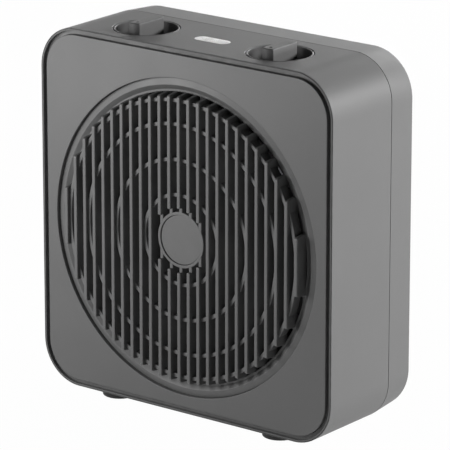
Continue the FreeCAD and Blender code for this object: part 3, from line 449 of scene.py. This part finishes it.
def allFinishes():
    grain = mouldedGrain(moulded)
    metal = drawnMetal(drawn)
    flecks = pressedFlecks(pressed)
    layers = stackedLayers(stacked)
    made = {slot: finish(slot, grain, v) for slot, v in plasticFinishes.items()}
    made.update({slot: finish(slot, metal, {"metal": 1, **v}) for slot, v in metalFinishes.items()})
    made.update({slot: finish(slot, flecks, v) for slot, v in fleckFinishes.items()})
    made.update({slot: finish(slot, layers, v) for slot, v in layerFinishes.items()})
    made["lens_plastic"] = lensFinish(grain, milkyLens)
    return made


# Sizes that the pieces share, millimetres. Depths run back from the front panel's face
heater = {
    "half": 122.5,
    "low": 5.0,
    "high": 258.0,
    "corner": 30.0,
    "face": -42.8,
    "axis": 127.65,
    "cornerSteps": 16,
    "sideSteps": 36,
    "sideLead": 0.01,        # share of a straight side next to each corner
    "sideFrom": 0.04,        # even steps along a side begin here
    "turnSteps": 256,
    "holeSteps": 128,
    "arcSteps": 5,           # over each rounded corner of a profile
    "edgePoints": 5,         # over a fine edge
    "rimPoints": 6,          # over an edge that shows more
}


def fullTurn(count):
    return np.linspace(0, 2 * math.pi, count, endpoint=False)


def quarterTurn(points):
    # Sine and cosine of even angles from 0 to 90 degrees
    a = np.radians(np.linspace(0, 90, points))
    return list(zip(np.sin(a), np.cos(a)))


def softened(points, rounds):
    # A closed outline whose corners become arcs tangent to both sides:
    # centre + (sin((1 - t) w) a + sin(t w) b) / sin w, for t from 0 to 1
    points = np.array(points, float)
    t = np.linspace(0, 1, heater["arcSteps"] + 1)[:, None]
    parts = []
    for i, r in enumerate(np.broadcast_to(rounds, len(points))):
        p = points[i]
        if r == 0:
            parts.append(p[None])
            continue
        u = points[i - 1] - p
        v = points[(i + 1) % len(points)] - p
        u = u / np.linalg.norm(u)
        v = v / np.linalg.norm(v)
        half = np.arccos(np.clip(u @ v, -1, 1)) / 2
        middle = (u + v) / np.linalg.norm(u + v)
        centre = p + middle * r / np.sin(half)
        a = p + u * r / np.tan(half) - centre
        b = p + v * r / np.tan(half) - centre
        w = math.pi - 2 * half
        parts.append(centre + (np.sin((1 - t) * w) * a + np.sin(t * w) * b) / np.sin(w))
    return np.concatenate(parts)


def turnedFront(profile):
    # Turned about the fan's axis: (r, d) at angle a is x = r cos a, y = face + d, z = axis + r sin a
    angles = fullTurn(heater["turnSteps"])
    r, d = np.array(profile, float).T[:, :, None]
    x = r * np.cos(angles)
    y = heater["face"] + d + 0 * angles
    z = heater["axis"] + r * np.sin(angles)
    return np.stack([x, y, z], 2)


def turnedUp(profile, x, depth, angles):
    # Turned about an upright axis: (r, z) at angle a is x + r cos a, y + r sin a, z
    r, z = np.array(profile, float).T[:, :, None]
    y = heater["face"] + depth
    return np.stack([x + r * np.cos(angles), y + r * np.sin(angles), z + 0 * angles], 2)


def outlineRing(inset, depth):
    # The body's rounded square, drawn in by the inset: corner arcs c + (R - inset)(cos a, sin a)
    # with points along the straight sides between them, anticlockwise from the right
    corner = heater["corner"]
    r = corner - inset
    cx = heater["half"] - corner
    low = heater["low"] + corner
    high = heater["high"] - corner
    centres = np.array([(cx, high), (-cx, high), (-cx, low), (cx, low)])
    quarter = np.linspace(0, math.pi / 2, heater["cornerSteps"] + 1)
    lead = heater["sideLead"]
    even = np.linspace(heater["sideFrom"], 1 - heater["sideFrom"], heater["sideSteps"])
    along = np.concatenate([[lead], even, [1 - lead]])[:, None]
    parts = []
    for k in range(4):
        a = quarter + k * math.pi / 2
        parts.append(centres[k] + r * np.stack([np.cos(a), np.sin(a)], 1))
        out = r * np.array([math.cos(a[-1]), math.sin(a[-1])])
        parts.append(centres[k] + out + along * (centres[(k + 1) % 4] - centres[k]))
    x, z = np.concatenate(parts).T
    return np.stack([x, np.full_like(x, heater["face"] + depth), z], 1)


def openingRing(radius, depth):
    # A circle about the fan's axis with one point on the ray through each point of the outline
    x, y, z = outlineRing(0, depth).T
    a = np.arctan2(z - heater["axis"], x)
    return np.stack([radius * np.cos(a), y, heater["axis"] + radius * np.sin(a)], 1)


def grid(points, loopRows=False, loopCols=False, flip=False):
    return {"points": np.asarray(points), "loopRows": loopRows, "loopCols": loopCols, "flip": flip}


def gridFaces(g, start):
    # One four-sided face for each cell, facing row direction x column direction
    rows, cols = g["points"].shape[:2]
    i = np.arange(rows if g["loopRows"] else rows - 1)[:, None]
    j = np.arange(cols if g["loopCols"] else cols - 1)[None, :]
    nextI = (i + 1) % rows
    nextJ = (j + 1) % cols
    corners = [i * cols + j, nextI * cols + j, nextI * cols + nextJ, i * cols + nextJ]
    if g["flip"]:
        corners = corners[::-1]
    return start + np.stack([np.broadcast_to(c, (i.size, j.size)).ravel() for c in corners], 1)


# Meshes: how points are joined, which edges are hard, and which are worn and painted with a highlight
meshing = {
    "scale": 0.001,          # millimetres to metres
    "joinGrids": 2e-6,       # points of a new piece that lie nearer than this become one, metres
    "joinCopy": 1e-6,        # the same for a copy of a node
    "hard": 30,              # faces that meet at more degrees keep a hard edge
    "wornHighlitFrom": 8,           # degrees between two faces where wear and the painted highlight begin
    "wornHighlitFully": 20,
    "longestWornHighlit": 0.02,     # points with a longer edge beside them get no wear or painted highlight, so no wide face does
}


def joinPoints(mesh, within, outwards=False):
    bm = bmesh.new()
    bm.from_mesh(mesh)
    bmesh.ops.remove_doubles(bm, verts=bm.verts, dist=within)
    if outwards:
        bmesh.ops.recalc_face_normals(bm, faces=bm.faces)
    bm.to_mesh(mesh)
    bm.free()


def makePiece(name, grids, node, closed=True):
    # Grids in millimetres become one mesh in metres, joined where their points meet
    points = np.concatenate([g["points"].reshape(-1, 3) for g in grids]) * meshing["scale"]
    starts = np.cumsum([0] + [g["points"].shape[0] * g["points"].shape[1] for g in grids])
    faces = np.concatenate([gridFaces(g, s) for g, s in zip(grids, starts)])
    mesh = bpy.data.meshes.new(name)
    mesh.from_pydata(points.tolist(), [], faces.tolist())
    joinPoints(mesh, meshing["joinGrids"], outwards=closed)
    return dress(bpy.data.objects.new(name, mesh), node)


def readAll(items, name, width, kind=float):
    # One row of values for each corner, face, edge or point of a mesh
    values = np.empty(len(items) * width, kind)
    items.foreach_get(name, values)
    return values.reshape(-1, width)


def markEdges(mesh, m):
    # Each point gets 0 to 1 for how sharply the faces round it turn away from each other, from the angle
    # between two neighbours' normals; hollows and points beside long edges get 0
    edgeOf = readAll(mesh.loops, "edge_index", 1, np.int32)[:, 0]
    sides = readAll(mesh.polygons, "loop_total", 1, np.int32)[:, 0]
    normals = readAll(mesh.polygons, "normal", 3)
    centres = readAll(mesh.polygons, "center", 3)
    places = readAll(mesh.vertices, "co", 3)
    faceOf = np.repeat(np.arange(len(sides)), sides)
    order = np.argsort(edgeOf, kind="stable")
    pairs = np.flatnonzero(edgeOf[order][1:] == edgeOf[order][:-1])
    one = faceOf[order[pairs]]
    two = faceOf[order[pairs + 1]]
    angle = np.degrees(np.arccos(np.clip((normals[one] * normals[two]).sum(1), -1, 1)))
    outward = ((centres[two] - centres[one]) * normals[one]).sum(1) < 0
    share = np.clip((angle - m["wornHighlitFrom"]) / (m["wornHighlitFully"] - m["wornHighlitFrom"]), 0, 1)
    sharp = np.where(outward, share, 0)
    ends = readAll(mesh.edges, "vertices", 2, np.int32)[edgeOf[order[pairs]]]
    lengths = np.linalg.norm(places[ends[:, 0]] - places[ends[:, 1]], axis=1)
    amount = np.zeros(len(places))
    np.maximum.at(amount, ends.ravel(), np.repeat(sharp, 2))
    reach = np.zeros(len(places))
    np.maximum.at(reach, ends.ravel(), np.repeat(lengths, 2))
    amount[reach > m["longestWornHighlit"]] = 0
    # This mask marks where edges are painted paler, partly as wear and partly as a painted highlight
    mesh.attributes.new("edge", "FLOAT", "POINT").data.foreach_set("value", amount)


def dress(piece, node):
    # Smooth shading up to the hard edges; the piece then stands for its node and moves with it
    mesh = piece.data
    scene.collection.objects.link(piece)
    mesh.shade_smooth()
    mesh.set_sharp_from_angle(angle=math.radians(meshing["hard"]))
    markEdges(mesh, meshing)
    weigh = piece.modifiers.new("flat faces lead", "WEIGHTED_NORMAL")
    weigh.keep_sharp = True
    mesh.materials.clear()
    mesh.materials.append(finishes[slotOf[node]])
    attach(piece, nodes[node]["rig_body"])
    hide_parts(node)
    return piece


def smoothCopy(node):
    # The node's own mesh with its triangles joined
    mesh = nodes[node].data.copy()
    mesh.name = node + "_smooth"
    if "custom_normal" in mesh.attributes:
        mesh.attributes.remove(mesh.attributes["custom_normal"])
    joinPoints(mesh, meshing["joinCopy"])
    return dress(bpy.data.objects.new(node + "_smooth", mesh), node)


# Front panel: a flat plate with a round opening, its edges just softened
panel = {"inset": 4.65, "thick": 3.5, "edge": 0.45, "opening": 109.85, "lip": 0.4}


def frontPanel(p):
    # The plate's section carried round: its outer ring follows the body's outline, its inner the circle.
    # An edge at angle a is e (1 - sin a) in and e (1 - cos a) back; a ring beside each edge keeps it narrow
    turns = quarterTurn(heater["edgePoints"])
    rings = [outlineRing(p["inset"] + 2 * p["edge"], 0)]
    rings += [outlineRing(p["inset"] + p["edge"] * (1 - s), p["edge"] * (1 - c)) for s, c in turns]
    rings.append(outlineRing(p["inset"], p["thick"]))
    rings.append(openingRing(p["opening"], p["thick"]))
    rings += [openingRing(p["opening"] + p["lip"] * (1 - c), p["lip"] * (1 - s)) for s, c in turns]
    rings.append(openingRing(p["opening"] + 2 * p["lip"], 0))
    makePiece("front_panel_plate", [grid(rings, True, True)], "front_panel")


# Housing: a rim round the panel's groove, plain walls, and a deck with two wells and a window
housing = {
    "rim": 1.65,
    "rimInner": 0.25,
    "bead": (0.65, 0.2),     # the rim's bead starts this far in from the walls, with this rounding
    "lip": (0.3, 0.05),      # the walls' front edge round the bead: its rounding, and how far it lies back
    "parting": 0.8,          # depth of the fine groove between the two
    "groove": 2.7,           # depth of the groove's floor, which ends close to the panel's edge
    "ledge": 4.45,
    "seat": panel["thick"],  # depth where the panel lies
    "frontWall": 7.0,
    "wall": 2.5,
    "hole": 104.1,
    "seam": 64.6,
    "seamEdge": 0.12,
    "deckFrom": 2.0,         # the deck's flat part, in depth
    "deckTo": 63.0,
    "deckSplit": 24.0,
    "knobX": 56.0,
    "knobD": 31.3,
    "well": 23.0,
    "wellEdge": 0.3,
    "wellFloor": 241.0,
    "wellWall": 2.0,
    "stem": 3.4,
    "lens": (28.0, 11.0),
    "lensEdge": 0.2,
    "plungerD": 30.0,
    "plungerHole": 3.3,
    "angleDigits": 7,        # rays round a hole that agree to this many digits are one
}


def boxReach(angles, x, d, box):
    # How far a ray from (x, d) runs to the edge of the box, as the nearer of its two crossings
    c = np.cos(angles)
    s = np.sin(angles)
    with np.errstate(divide="ignore", invalid="ignore"):
        acrossX = np.where(c > 0, (box[1] - x) / c, (box[0] - x) / c)
        acrossD = np.where(s > 0, (box[3] - d) / s, (box[2] - d) / s)
    acrossX = np.where(np.abs(c) < tiny, np.inf, acrossX)
    acrossD = np.where(np.abs(s) < tiny, np.inf, acrossD)
    return np.minimum(acrossX, acrossD)


def patchAngles(x, d, box):
    # Even angles with the rays to the box's four corners among them
    corners = [math.atan2(dd - d, xx - x) for xx in box[:2] for dd in box[2:]]
    even = np.linspace(-math.pi, math.pi, heater["holeSteps"], endpoint=False)
    return np.unique(np.round(np.concatenate([even, corners]), housing["angleDigits"]))


def stadiumReach(angles, length, width):
    # From the middle of a round-ended slot to its edge: the straight side or the end's circle
    r = width / 2
    a = (length - width) / 2
    c = np.abs(np.cos(angles))
    s = np.abs(np.sin(angles))
    side = r / np.maximum(s, tiny)
    end = a * c + np.sqrt(np.maximum(r * r - (a * s) ** 2, 0))
    return np.where(side * c <= a, side, end)


def holePatch(levels, x, depth, outerBox, innerBox, flip):
    # Rings round an upright hole, each a pair of how far out and how high: the box's edge or the hole's own,
    # from the body's outer face to its inner one
    boxes = [outerBox, innerBox]
    angles = np.unique(np.concatenate([patchAngles(x, depth, box) for box in boxes]))
    rays = np.stack([np.cos(angles), np.sin(angles)], 1)
    rings = []
    for reach, z in levels:
        if reach == "box":
            far = boxReach(angles, x, depth, boxes[len(rings) > 0])
        else:
            far = reach(angles)
        flat = far[:, None] * rays + (x, heater["face"] + depth)
        rings.append(np.concatenate([flat, np.full((len(angles), 1), z)], 1))
    return grid(rings, loopCols=True, flip=flip)


def circle(r):
    return lambda angles: np.full_like(angles, r)


def slotEdge(length, width, out):
    return lambda angles: stadiumReach(angles, length, width) + out


def deckPatches(h, edgeX):
    # The deck's flat with two wells and the window's hole; an edge at angle a is
    # e (1 - sin a) across and e (1 - cos a) down
    top = heater["high"]
    low = top - h["wall"]
    curve = [(1 - s, 1 - c) for s, c in quarterTurn(heater["edgePoints"])]
    outer = (h["deckFrom"], h["deckTo"])
    inner = (h["frontWall"], h["seam"])
    under = h["wellFloor"] - h["wellWall"]
    out = h["well"] + h["wellWall"]
    grids = []
    for side in (-1, 1):
        span = tuple(sorted((side * h["deckSplit"], side * edgeX)))
        levels = [("box", top), (circle(h["well"] + 2 * h["wellEdge"]), top)]
        levels += [(circle(h["well"] + h["wellEdge"] * w), top - h["wellEdge"] * d) for w, d in curve]
        levels += [(circle(h["well"]), h["wellFloor"]), (circle(h["stem"]), h["wellFloor"])]
        levels += [(circle(h["stem"]), under), (circle(out), under), (circle(out), low), ("box", low)]
        grids.append(holePatch(levels, side * h["knobX"], h["knobD"], span + outer, span + inner, True))
    span = (-h["deckSplit"], h["deckSplit"])
    levels = [("box", top), (slotEdge(*h["lens"], 2 * h["lensEdge"]), top)]
    levels += [(slotEdge(*h["lens"], h["lensEdge"] * w), top - h["lensEdge"] * d) for w, d in curve]
    levels += [(slotEdge(*h["lens"], 0), low), ("box", low)]
    grids.append(holePatch(levels, 0, h["knobD"], span + outer, span + inner, True))
    return grids


def basePatch(h, edgeX):
    # The flat underside with the plunger's hole, seen from below
    low = heater["low"]
    hole = circle(h["plungerHole"])
    levels = [("box", low), (hole, low), (hole, low + h["wall"]), ("box", low + h["wall"])]
    span = (-edgeX, edgeX)
    outer = span + (h["deckFrom"], h["deckTo"])
    inner = span + (h["frontWall"], h["seam"])
    return holePatch(levels, 0, h["plungerD"], outer, inner, False)


def mainHousing(h):
    # One section carried round the outline, with the top and bottom flats left open for patches
    turns = quarterTurn(heater["rimPoints"])
    rimIn = h["rimInner"]
    edge = h["seamEdge"]
    beadIn, beadRound = h["bead"]
    lipRound, lipBack = h["lip"]
    front = [outlineRing(h["wall"], h["frontWall"])]
    front += [openingRing(h["hole"], h["frontWall"]), openingRing(h["hole"], h["seat"])]
    front += [outlineRing(h["ledge"], h["seat"]), outlineRing(h["ledge"], h["groove"])]
    front.append(outlineRing(h["rim"], h["groove"]))
    front += [outlineRing(h["rim"] - rimIn * (1 - c), rimIn * (1 - s)) for s, c in turns]
    front += [outlineRing(beadIn + beadRound * (1 - s), beadRound * (1 - c)) for s, c in turns]
    front += [outlineRing(beadIn, h["parting"]), outlineRing(lipRound, h["parting"])]
    front += [outlineRing(lipRound * (1 - s), lipBack + lipRound * (1 - c)) for s, c in turns]
    front.append(outlineRing(0, h["deckFrom"]))
    seam = [outlineRing(0, h["deckTo"])]
    seam += [outlineRing(edge * (1 - c), h["seam"] - edge * (1 - s)) for s, c in turns]
    seam.append(outlineRing(h["wall"], h["seam"]))
    # Columns of the left and right walls with their corners; a step is one corner and one side
    step = heater["cornerSteps"] + heater["sideSteps"] + 3
    firstFlat = heater["cornerSteps"] + 1
    left = np.arange(step - 1, 2 * step + firstFlat + 1)
    right = np.arange(3 * step - 1, 4 * step + firstFlat + 1) % (4 * step)
    grids = [grid(front, loopCols=True), grid(seam, loopCols=True)]
    for pair in ((front[-1], seam[0]), (seam[-1], front[0])):
        grids += [grid(np.stack(pair)[:, side]) for side in (left, right)]
    edgeX = float(front[0][firstFlat, 0])
    grids += deckPatches(h, edgeX) + [basePatch(h, edgeX)]
    makePiece("main_housing_shell", grids, "main_housing", closed=False)


# Outlet grille: a dished ring, upright slats with rounded edges, rings behind them and a hub
grille = {
    "ring": [(109.65, 2.6), (104.8, 1.4), (101.6, 3.4), (99.9, 3.4), (99.9, 9.0), (102.3, 9.0),
             (102.3, 5.5), (113.0, 5.5), (113.0, 3.5), (109.65, 3.5)],
    "ringRounds": [0.3, 0.7, 0.3, 0.3, 0, 0, 0, 0, 0, 0],
    "slatPitch": 8.1,
    "slatCount": 12,         # on each side of the middle one
    "slatWidth": 2.7,
    "slatFront": -5.7,
    "slatBack": 6.0,
    "slatEnd": 99.3,
    "slatLean": 1.0,
    "slatCorner": 1.6,
    "slatRoot": 4.0,
    "slatInto": 101.1,
    "edge": 0.55,
    "guides": [31.0, 55.2, 79.4, 95.7],
    "guideThick": 2.8,
    "guideFront": -3.2,
    "guideBack": 4.5,
    "guideRound": 0.3,       # at the back
    "hub": [(0, -0.6), (17.2, -0.6), (17.2, -3.3), (19.4, -3.3), (19.4, 6.0), (0, 6.0)],
    "hubRounds": [0, 0.2, 0.35, 0.55, 0, 0],
    "stubFrom": 22.3,
    "stubFront": -3.2,
    "stubRound": 0.3,
    "hubCore": 18.3,
}


def slatPath(x, g):
    # The slat's front seen from the side, as (height above the axis, depth) from its top downwards
    end = math.sqrt(g["slatEnd"] ** 2 - x ** 2)
    into = math.sqrt(g["slatInto"] ** 2 - x ** 2)
    slope = g["slatLean"] / (g["slatRoot"] - g["slatFront"] - g["slatCorner"])
    corner = (end - slope * g["slatCorner"], g["slatFront"])
    top = [(into, g["slatRoot"]), (end + g["slatLean"], g["slatRoot"]), corner]
    rounds = [0, 0, g["slatCorner"]]
    if abs(x) < g["stubFrom"]:
        notch = math.sqrt(g["stubFrom"] ** 2 - x ** 2)
        core = math.sqrt(g["hubCore"] ** 2 - x ** 2)
        points = top + [(notch, g["slatFront"]), (notch, g["stubFront"]), (core, g["stubFront"])]
        return softened(points, rounds + [g["edge"], g["stubRound"], 0])
    points = top + [(-z, d) for z, d in reversed(top)]
    return softened(points, rounds + rounds[::-1])


def slatGrid(x, path, g, turn=1):
    # Section (x + (w/2 - e) + e sin f, front + e (1 - cos f) inwards) carried down the front's path
    e = g["edge"]
    s, c = np.array(quarterTurn(heater["edgePoints"])).T
    core = g["slatWidth"] / 2 - e
    across = np.concatenate([-(core + e * s[::-1]), core + e * s])
    sink = e * (1 - np.concatenate([c[::-1], c]))
    step = np.gradient(path, axis=0)
    step = step / np.maximum(np.linalg.norm(step, axis=1, keepdims=True), tiny)
    inward = np.stack([step[:, 1], -step[:, 0]], 1)
    shape = path[:, None, :] + sink[None, :, None] * inward[:, None, :]
    z = np.concatenate([shape[:, :, 0], path[:, :1], path[:, :1]], 1)
    back = np.full((len(path), 2), g["slatBack"])
    d = np.concatenate([shape[:, :, 1], back], 1)
    wide = np.concatenate([across, [g["slatWidth"] / 2, -g["slatWidth"] / 2]])
    x = x + np.broadcast_to(wide, z.shape)
    points = np.stack([x, heater["face"] + d, heater["axis"] + turn * z], 2)
    ends = points[[0, -1]].mean(1, keepdims=True) + np.zeros((2, len(wide), 3))
    return grid(np.concatenate([ends[:1], points, ends[1:]]), loopCols=True)


def frontGrille(g):
    # The ring, the guides and the hub are profiles turned about the axis; each slat is a section on a path
    grids = [grid(turnedFront(softened(g["ring"], g["ringRounds"])), True, True)]
    half = g["guideThick"] / 2
    guideRounds = [g["edge"], g["edge"], g["guideRound"], g["guideRound"]]
    for r in g["guides"]:
        section = [(r - half, g["guideFront"]), (r + half, g["guideFront"])]
        section += [(r + half, g["guideBack"]), (r - half, g["guideBack"])]
        grids.append(grid(turnedFront(softened(section, guideRounds)), True, True))
    grids.append(grid(turnedFront(softened(g["hub"], g["hubRounds"])), loopCols=True))
    for i in range(-g["slatCount"], g["slatCount"] + 1):
        x = i * g["slatPitch"]
        path = slatPath(x, g)
        grids.append(slatGrid(x, path, g))
        if abs(x) < g["stubFrom"]:
            grids.append(slatGrid(x, path, g, turn=-1))
    makePiece("front_grille_guard", grids, "front_grille")


# Hub cap: a plain disc just below the hub's rim
cap = {"section": [(0, -2.5), (17.05, -2.5), (17.05, -0.6), (0, -0.6)], "rounds": [0, 0.4, 0, 0]}


def hubCap(c):
    # The disc's profile turned about the fan's axis
    points = turnedFront(softened(c["section"], c["rounds"]))
    makePiece("hub_cap_disc", [grid(points, loopCols=True)], "hub_cap")


# Knobs: a dished cup with a thin rim, and a bar grip with a rounded nose and a dimple
knob = {
    "cup": [(0, 243.0), (22.4, 243.0), (22.4, heater["high"]),
            (21.1, heater["high"]), (21.1, 245.0), (0, 245.0)],
    "cupRounds": [0, 0.3, 0.45, 0.45, 1.2, 0],
    "turnSteps": 128,
    "halfWidth": 4.6,
    "halfLength": 13.1,
    "nose": 1.8,
    "nosePoints": 13,
    "sideSteps": 24,
    "corner": 0.9,
    "leastCorner": 0.05,
    "top": 263.8,
    "topRound": 1.0,
    "foot": 244.5,
    "dot": 1.2,
    "dotEdge": 0.12,
    "dotDepth": 0.5,
    "dotFromEnd": 3.2,
}


def barOutline(k, inset):
    # The grip seen from above, drawn in by the inset: straight sides and back, and a nose that is
    # bowed by n (1 - t t) for t from -1 to 1 across it
    w = k["halfWidth"] - inset
    back = k["halfLength"] - inset
    t = np.linspace(-1, 1, k["nosePoints"])[1:-1]
    nose = [(w * v, -(k["halfLength"] + k["nose"] * (1 - v * v) - inset)) for v in t]
    points = [(-w, -back)] + nose + [(w, -back), (w, back), (-w, back)]
    corner = max(k["corner"] - inset, k["leastCorner"])
    ring = softened(points, [corner] + [0] * len(nose) + [corner] * 3)
    sides = np.linspace(heater["sideFrom"], 1 - heater["sideFrom"], k["sideSteps"])[:, None]
    rightEnd = len(ring) - 2 * (heater["arcSteps"] + 1)
    right = ring[rightEnd - 1] + sides * (ring[rightEnd] - ring[rightEnd - 1])
    left = ring[-1] + sides * (ring[0] - ring[-1])
    return np.concatenate([ring[:rightEnd], right, ring[rightEnd:], left])


def knobPiece(node, x, k):
    # The cup is turned about the spindle. The bar is its outline raised, rounded over at the top by
    # e (1 - cos a) in and e (1 - sin a) down, then flat in to the dimple's edge
    depth = housing["knobD"]
    cup = turnedUp(softened(k["cup"], k["cupRounds"]), x, depth, fullTurn(k["turnSteps"]))
    e = k["topRound"]
    levels = [(0, k["foot"])]
    levels += [(e * (1 - c), k["top"] - e * (1 - s)) for s, c in quarterTurn(heater["rimPoints"])]
    rows = []
    for inset, z in levels:
        ring = barOutline(k, inset)
        rows.append(np.concatenate([ring, np.full((len(ring), 1), z)], 1))
    dotY = k["dotFromEnd"] - k["halfLength"]
    dotFloor = k["top"] - k["dotDepth"]
    across, along = barOutline(k, e).T
    ray = np.arctan2(along - dotY, across)
    dimple = [(k["dot"] + k["dotEdge"], k["top"]), (k["dot"], k["top"] - k["dotEdge"])]
    dimple += [(k["dot"], dotFloor), (0, dotFloor)]
    for r, z in dimple:
        rows.append(np.stack([r * np.cos(ray), dotY + r * np.sin(ray), np.full_like(ray, z)], 1))
    bar = np.stack(rows) + (x, heater["face"] + depth, 0)
    grids = [grid(cup, loopCols=True, flip=True), grid(bar, loopCols=True, flip=True)]
    makePiece(node + "_grip", grids, node, closed=False)


# Indicator window: a round-ended lens level with the deck
lens = {
    "clear": 0.15,           # gap to the deck's hole all round
    "edge": 0.3,
    "bottom": 255.0,
    "turnSteps": 96,
}


def indicatorLens(w):
    # Rings of the round-ended outline: up the sides, over the edge, and in to the middle
    angles = np.linspace(-math.pi, math.pi, w["turnSteps"], endpoint=False)
    rays = np.stack([np.cos(angles), np.sin(angles)], 1)
    length, width = np.array(housing["lens"]) - 2 * w["clear"]
    e = w["edge"]
    levels = [(0, w["bottom"])]
    levels += [(e * (1 - c), heater["high"] - e * (1 - s)) for s, c in quarterTurn(heater["edgePoints"])]
    rows = []
    for inset, z in levels:
        ring = stadiumReach(angles, length - 2 * inset, width - 2 * inset)[:, None] * rays
        rows.append(np.concatenate([ring, np.full((len(angles), 1), z)], 1))
    middle = np.zeros_like(rows[0]) + (0, 0, heater["high"])
    underside = np.zeros_like(rows[0]) + (0, 0, w["bottom"])
    points = np.stack([underside] + rows + [middle]) + (0, heater["face"] + housing["knobD"], 0)
    makePiece("indicator_lens_window", [grid(points, loopCols=True)], "indicator_lens")


# Feet: rubber pads with a softened edge and a shallow ring under each
feet = {
    "section": [(0, 0.5), (6.5, 0.5), (7.0, 0), (12.0, 0), (12.0, heater["low"]), (0, heater["low"])],
    "rounds": [0, 0.2, 0.2, 1.0, 0.2, 0],
    "turnSteps": 96,
    "x": 68.85,
    "depths": [16.1, 77.6],
}


def rubberFeet(f):
    # Each pad's profile turned about its own upright axis
    angles = fullTurn(f["turnSteps"])
    section = softened(f["section"], f["rounds"])
    places = [(side * f["x"], depth) for side in (-1, 1) for depth in f["depths"]]
    grids = [grid(turnedUp(section, x, depth, angles), loopCols=True) for x, depth in places]
    makePiece("rubber_feet_pads", grids, "rubber_feet")


# Heating coils: resistance wire wound in close curls along a ring
coil = {
    "depth": 22.0,
    "curl": 2.75,
    "wire": 0.4,
    "wireSides": 5,
    "pitch": 2.1,
    "curlSteps": 10,
    "from": -20.0,
    "to": -360.0,
    "rings": {"outer_heating_coil": 72.05, "inner_heating_coil": 45.05},
}


def heatingCoil(node, ringR, c):
    # Centre line (R + h cos p) e(a) + h sin p y, where p goes round once for each pitch along the ring;
    # the wire is a circle of its radius square to that line
    sweep = math.radians(c["to"] - c["from"])
    turns = round(abs(sweep) * ringR / c["pitch"])
    count = turns * c["curlSteps"] + 1
    a = math.radians(c["from"]) + np.linspace(0, sweep, count)
    p = np.linspace(0, turns * 2 * math.pi, count)
    out = np.stack([np.cos(a), 0 * a, np.sin(a)], 1)
    normal = np.cos(p)[:, None] * out + np.sin(p)[:, None] * np.array([0, 1, 0])
    line = ringR * out + c["curl"] * normal
    ahead = np.gradient(line, axis=0)
    ahead = ahead / np.linalg.norm(ahead, axis=1, keepdims=True)
    side = np.cross(ahead, normal)
    q = fullTurn(c["wireSides"])[:, None]
    tube = line[:, None] + c["wire"] * (np.cos(q) * normal[:, None] + np.sin(q) * side[:, None])
    tube = tube + (0, heater["face"] + c["depth"], heater["axis"])
    ends = tube[[0, -1]].mean(1, keepdims=True) + np.zeros((2, c["wireSides"], 3))
    points = np.concatenate([ends[:1], tube, ends[1:]])
    makePiece(node + "_curls", [grid(points, loopCols=True)], node)


print("stage: studio")
addCamera(camera)
surround(studio)
floor(studio)
for lamp in studio["lamps"]:
    addLamp(lamp)

print("stage: finishes")
finishes = allFinishes()
slotOf = {part["node"]: part["material_slot"] for part in frame["record"]["subparts"]}
for name, obj in nodes.items():
    obj.data.materials.clear()
    obj.data.materials.append(finishes[slotOf[name]])

print("stage: pieces")
mainHousing(housing)
frontPanel(panel)
frontGrille(grille)
hubCap(cap)
smoothCopy("rear_cover")
knobPiece("mode_knob", -housing["knobX"], knob)
knobPiece("thermostat_knob", housing["knobX"], knob)
indicatorLens(lens)
rubberFeet(feet)
for node, ringR in coil["rings"].items():
    heatingCoil(node, ringR, coil)
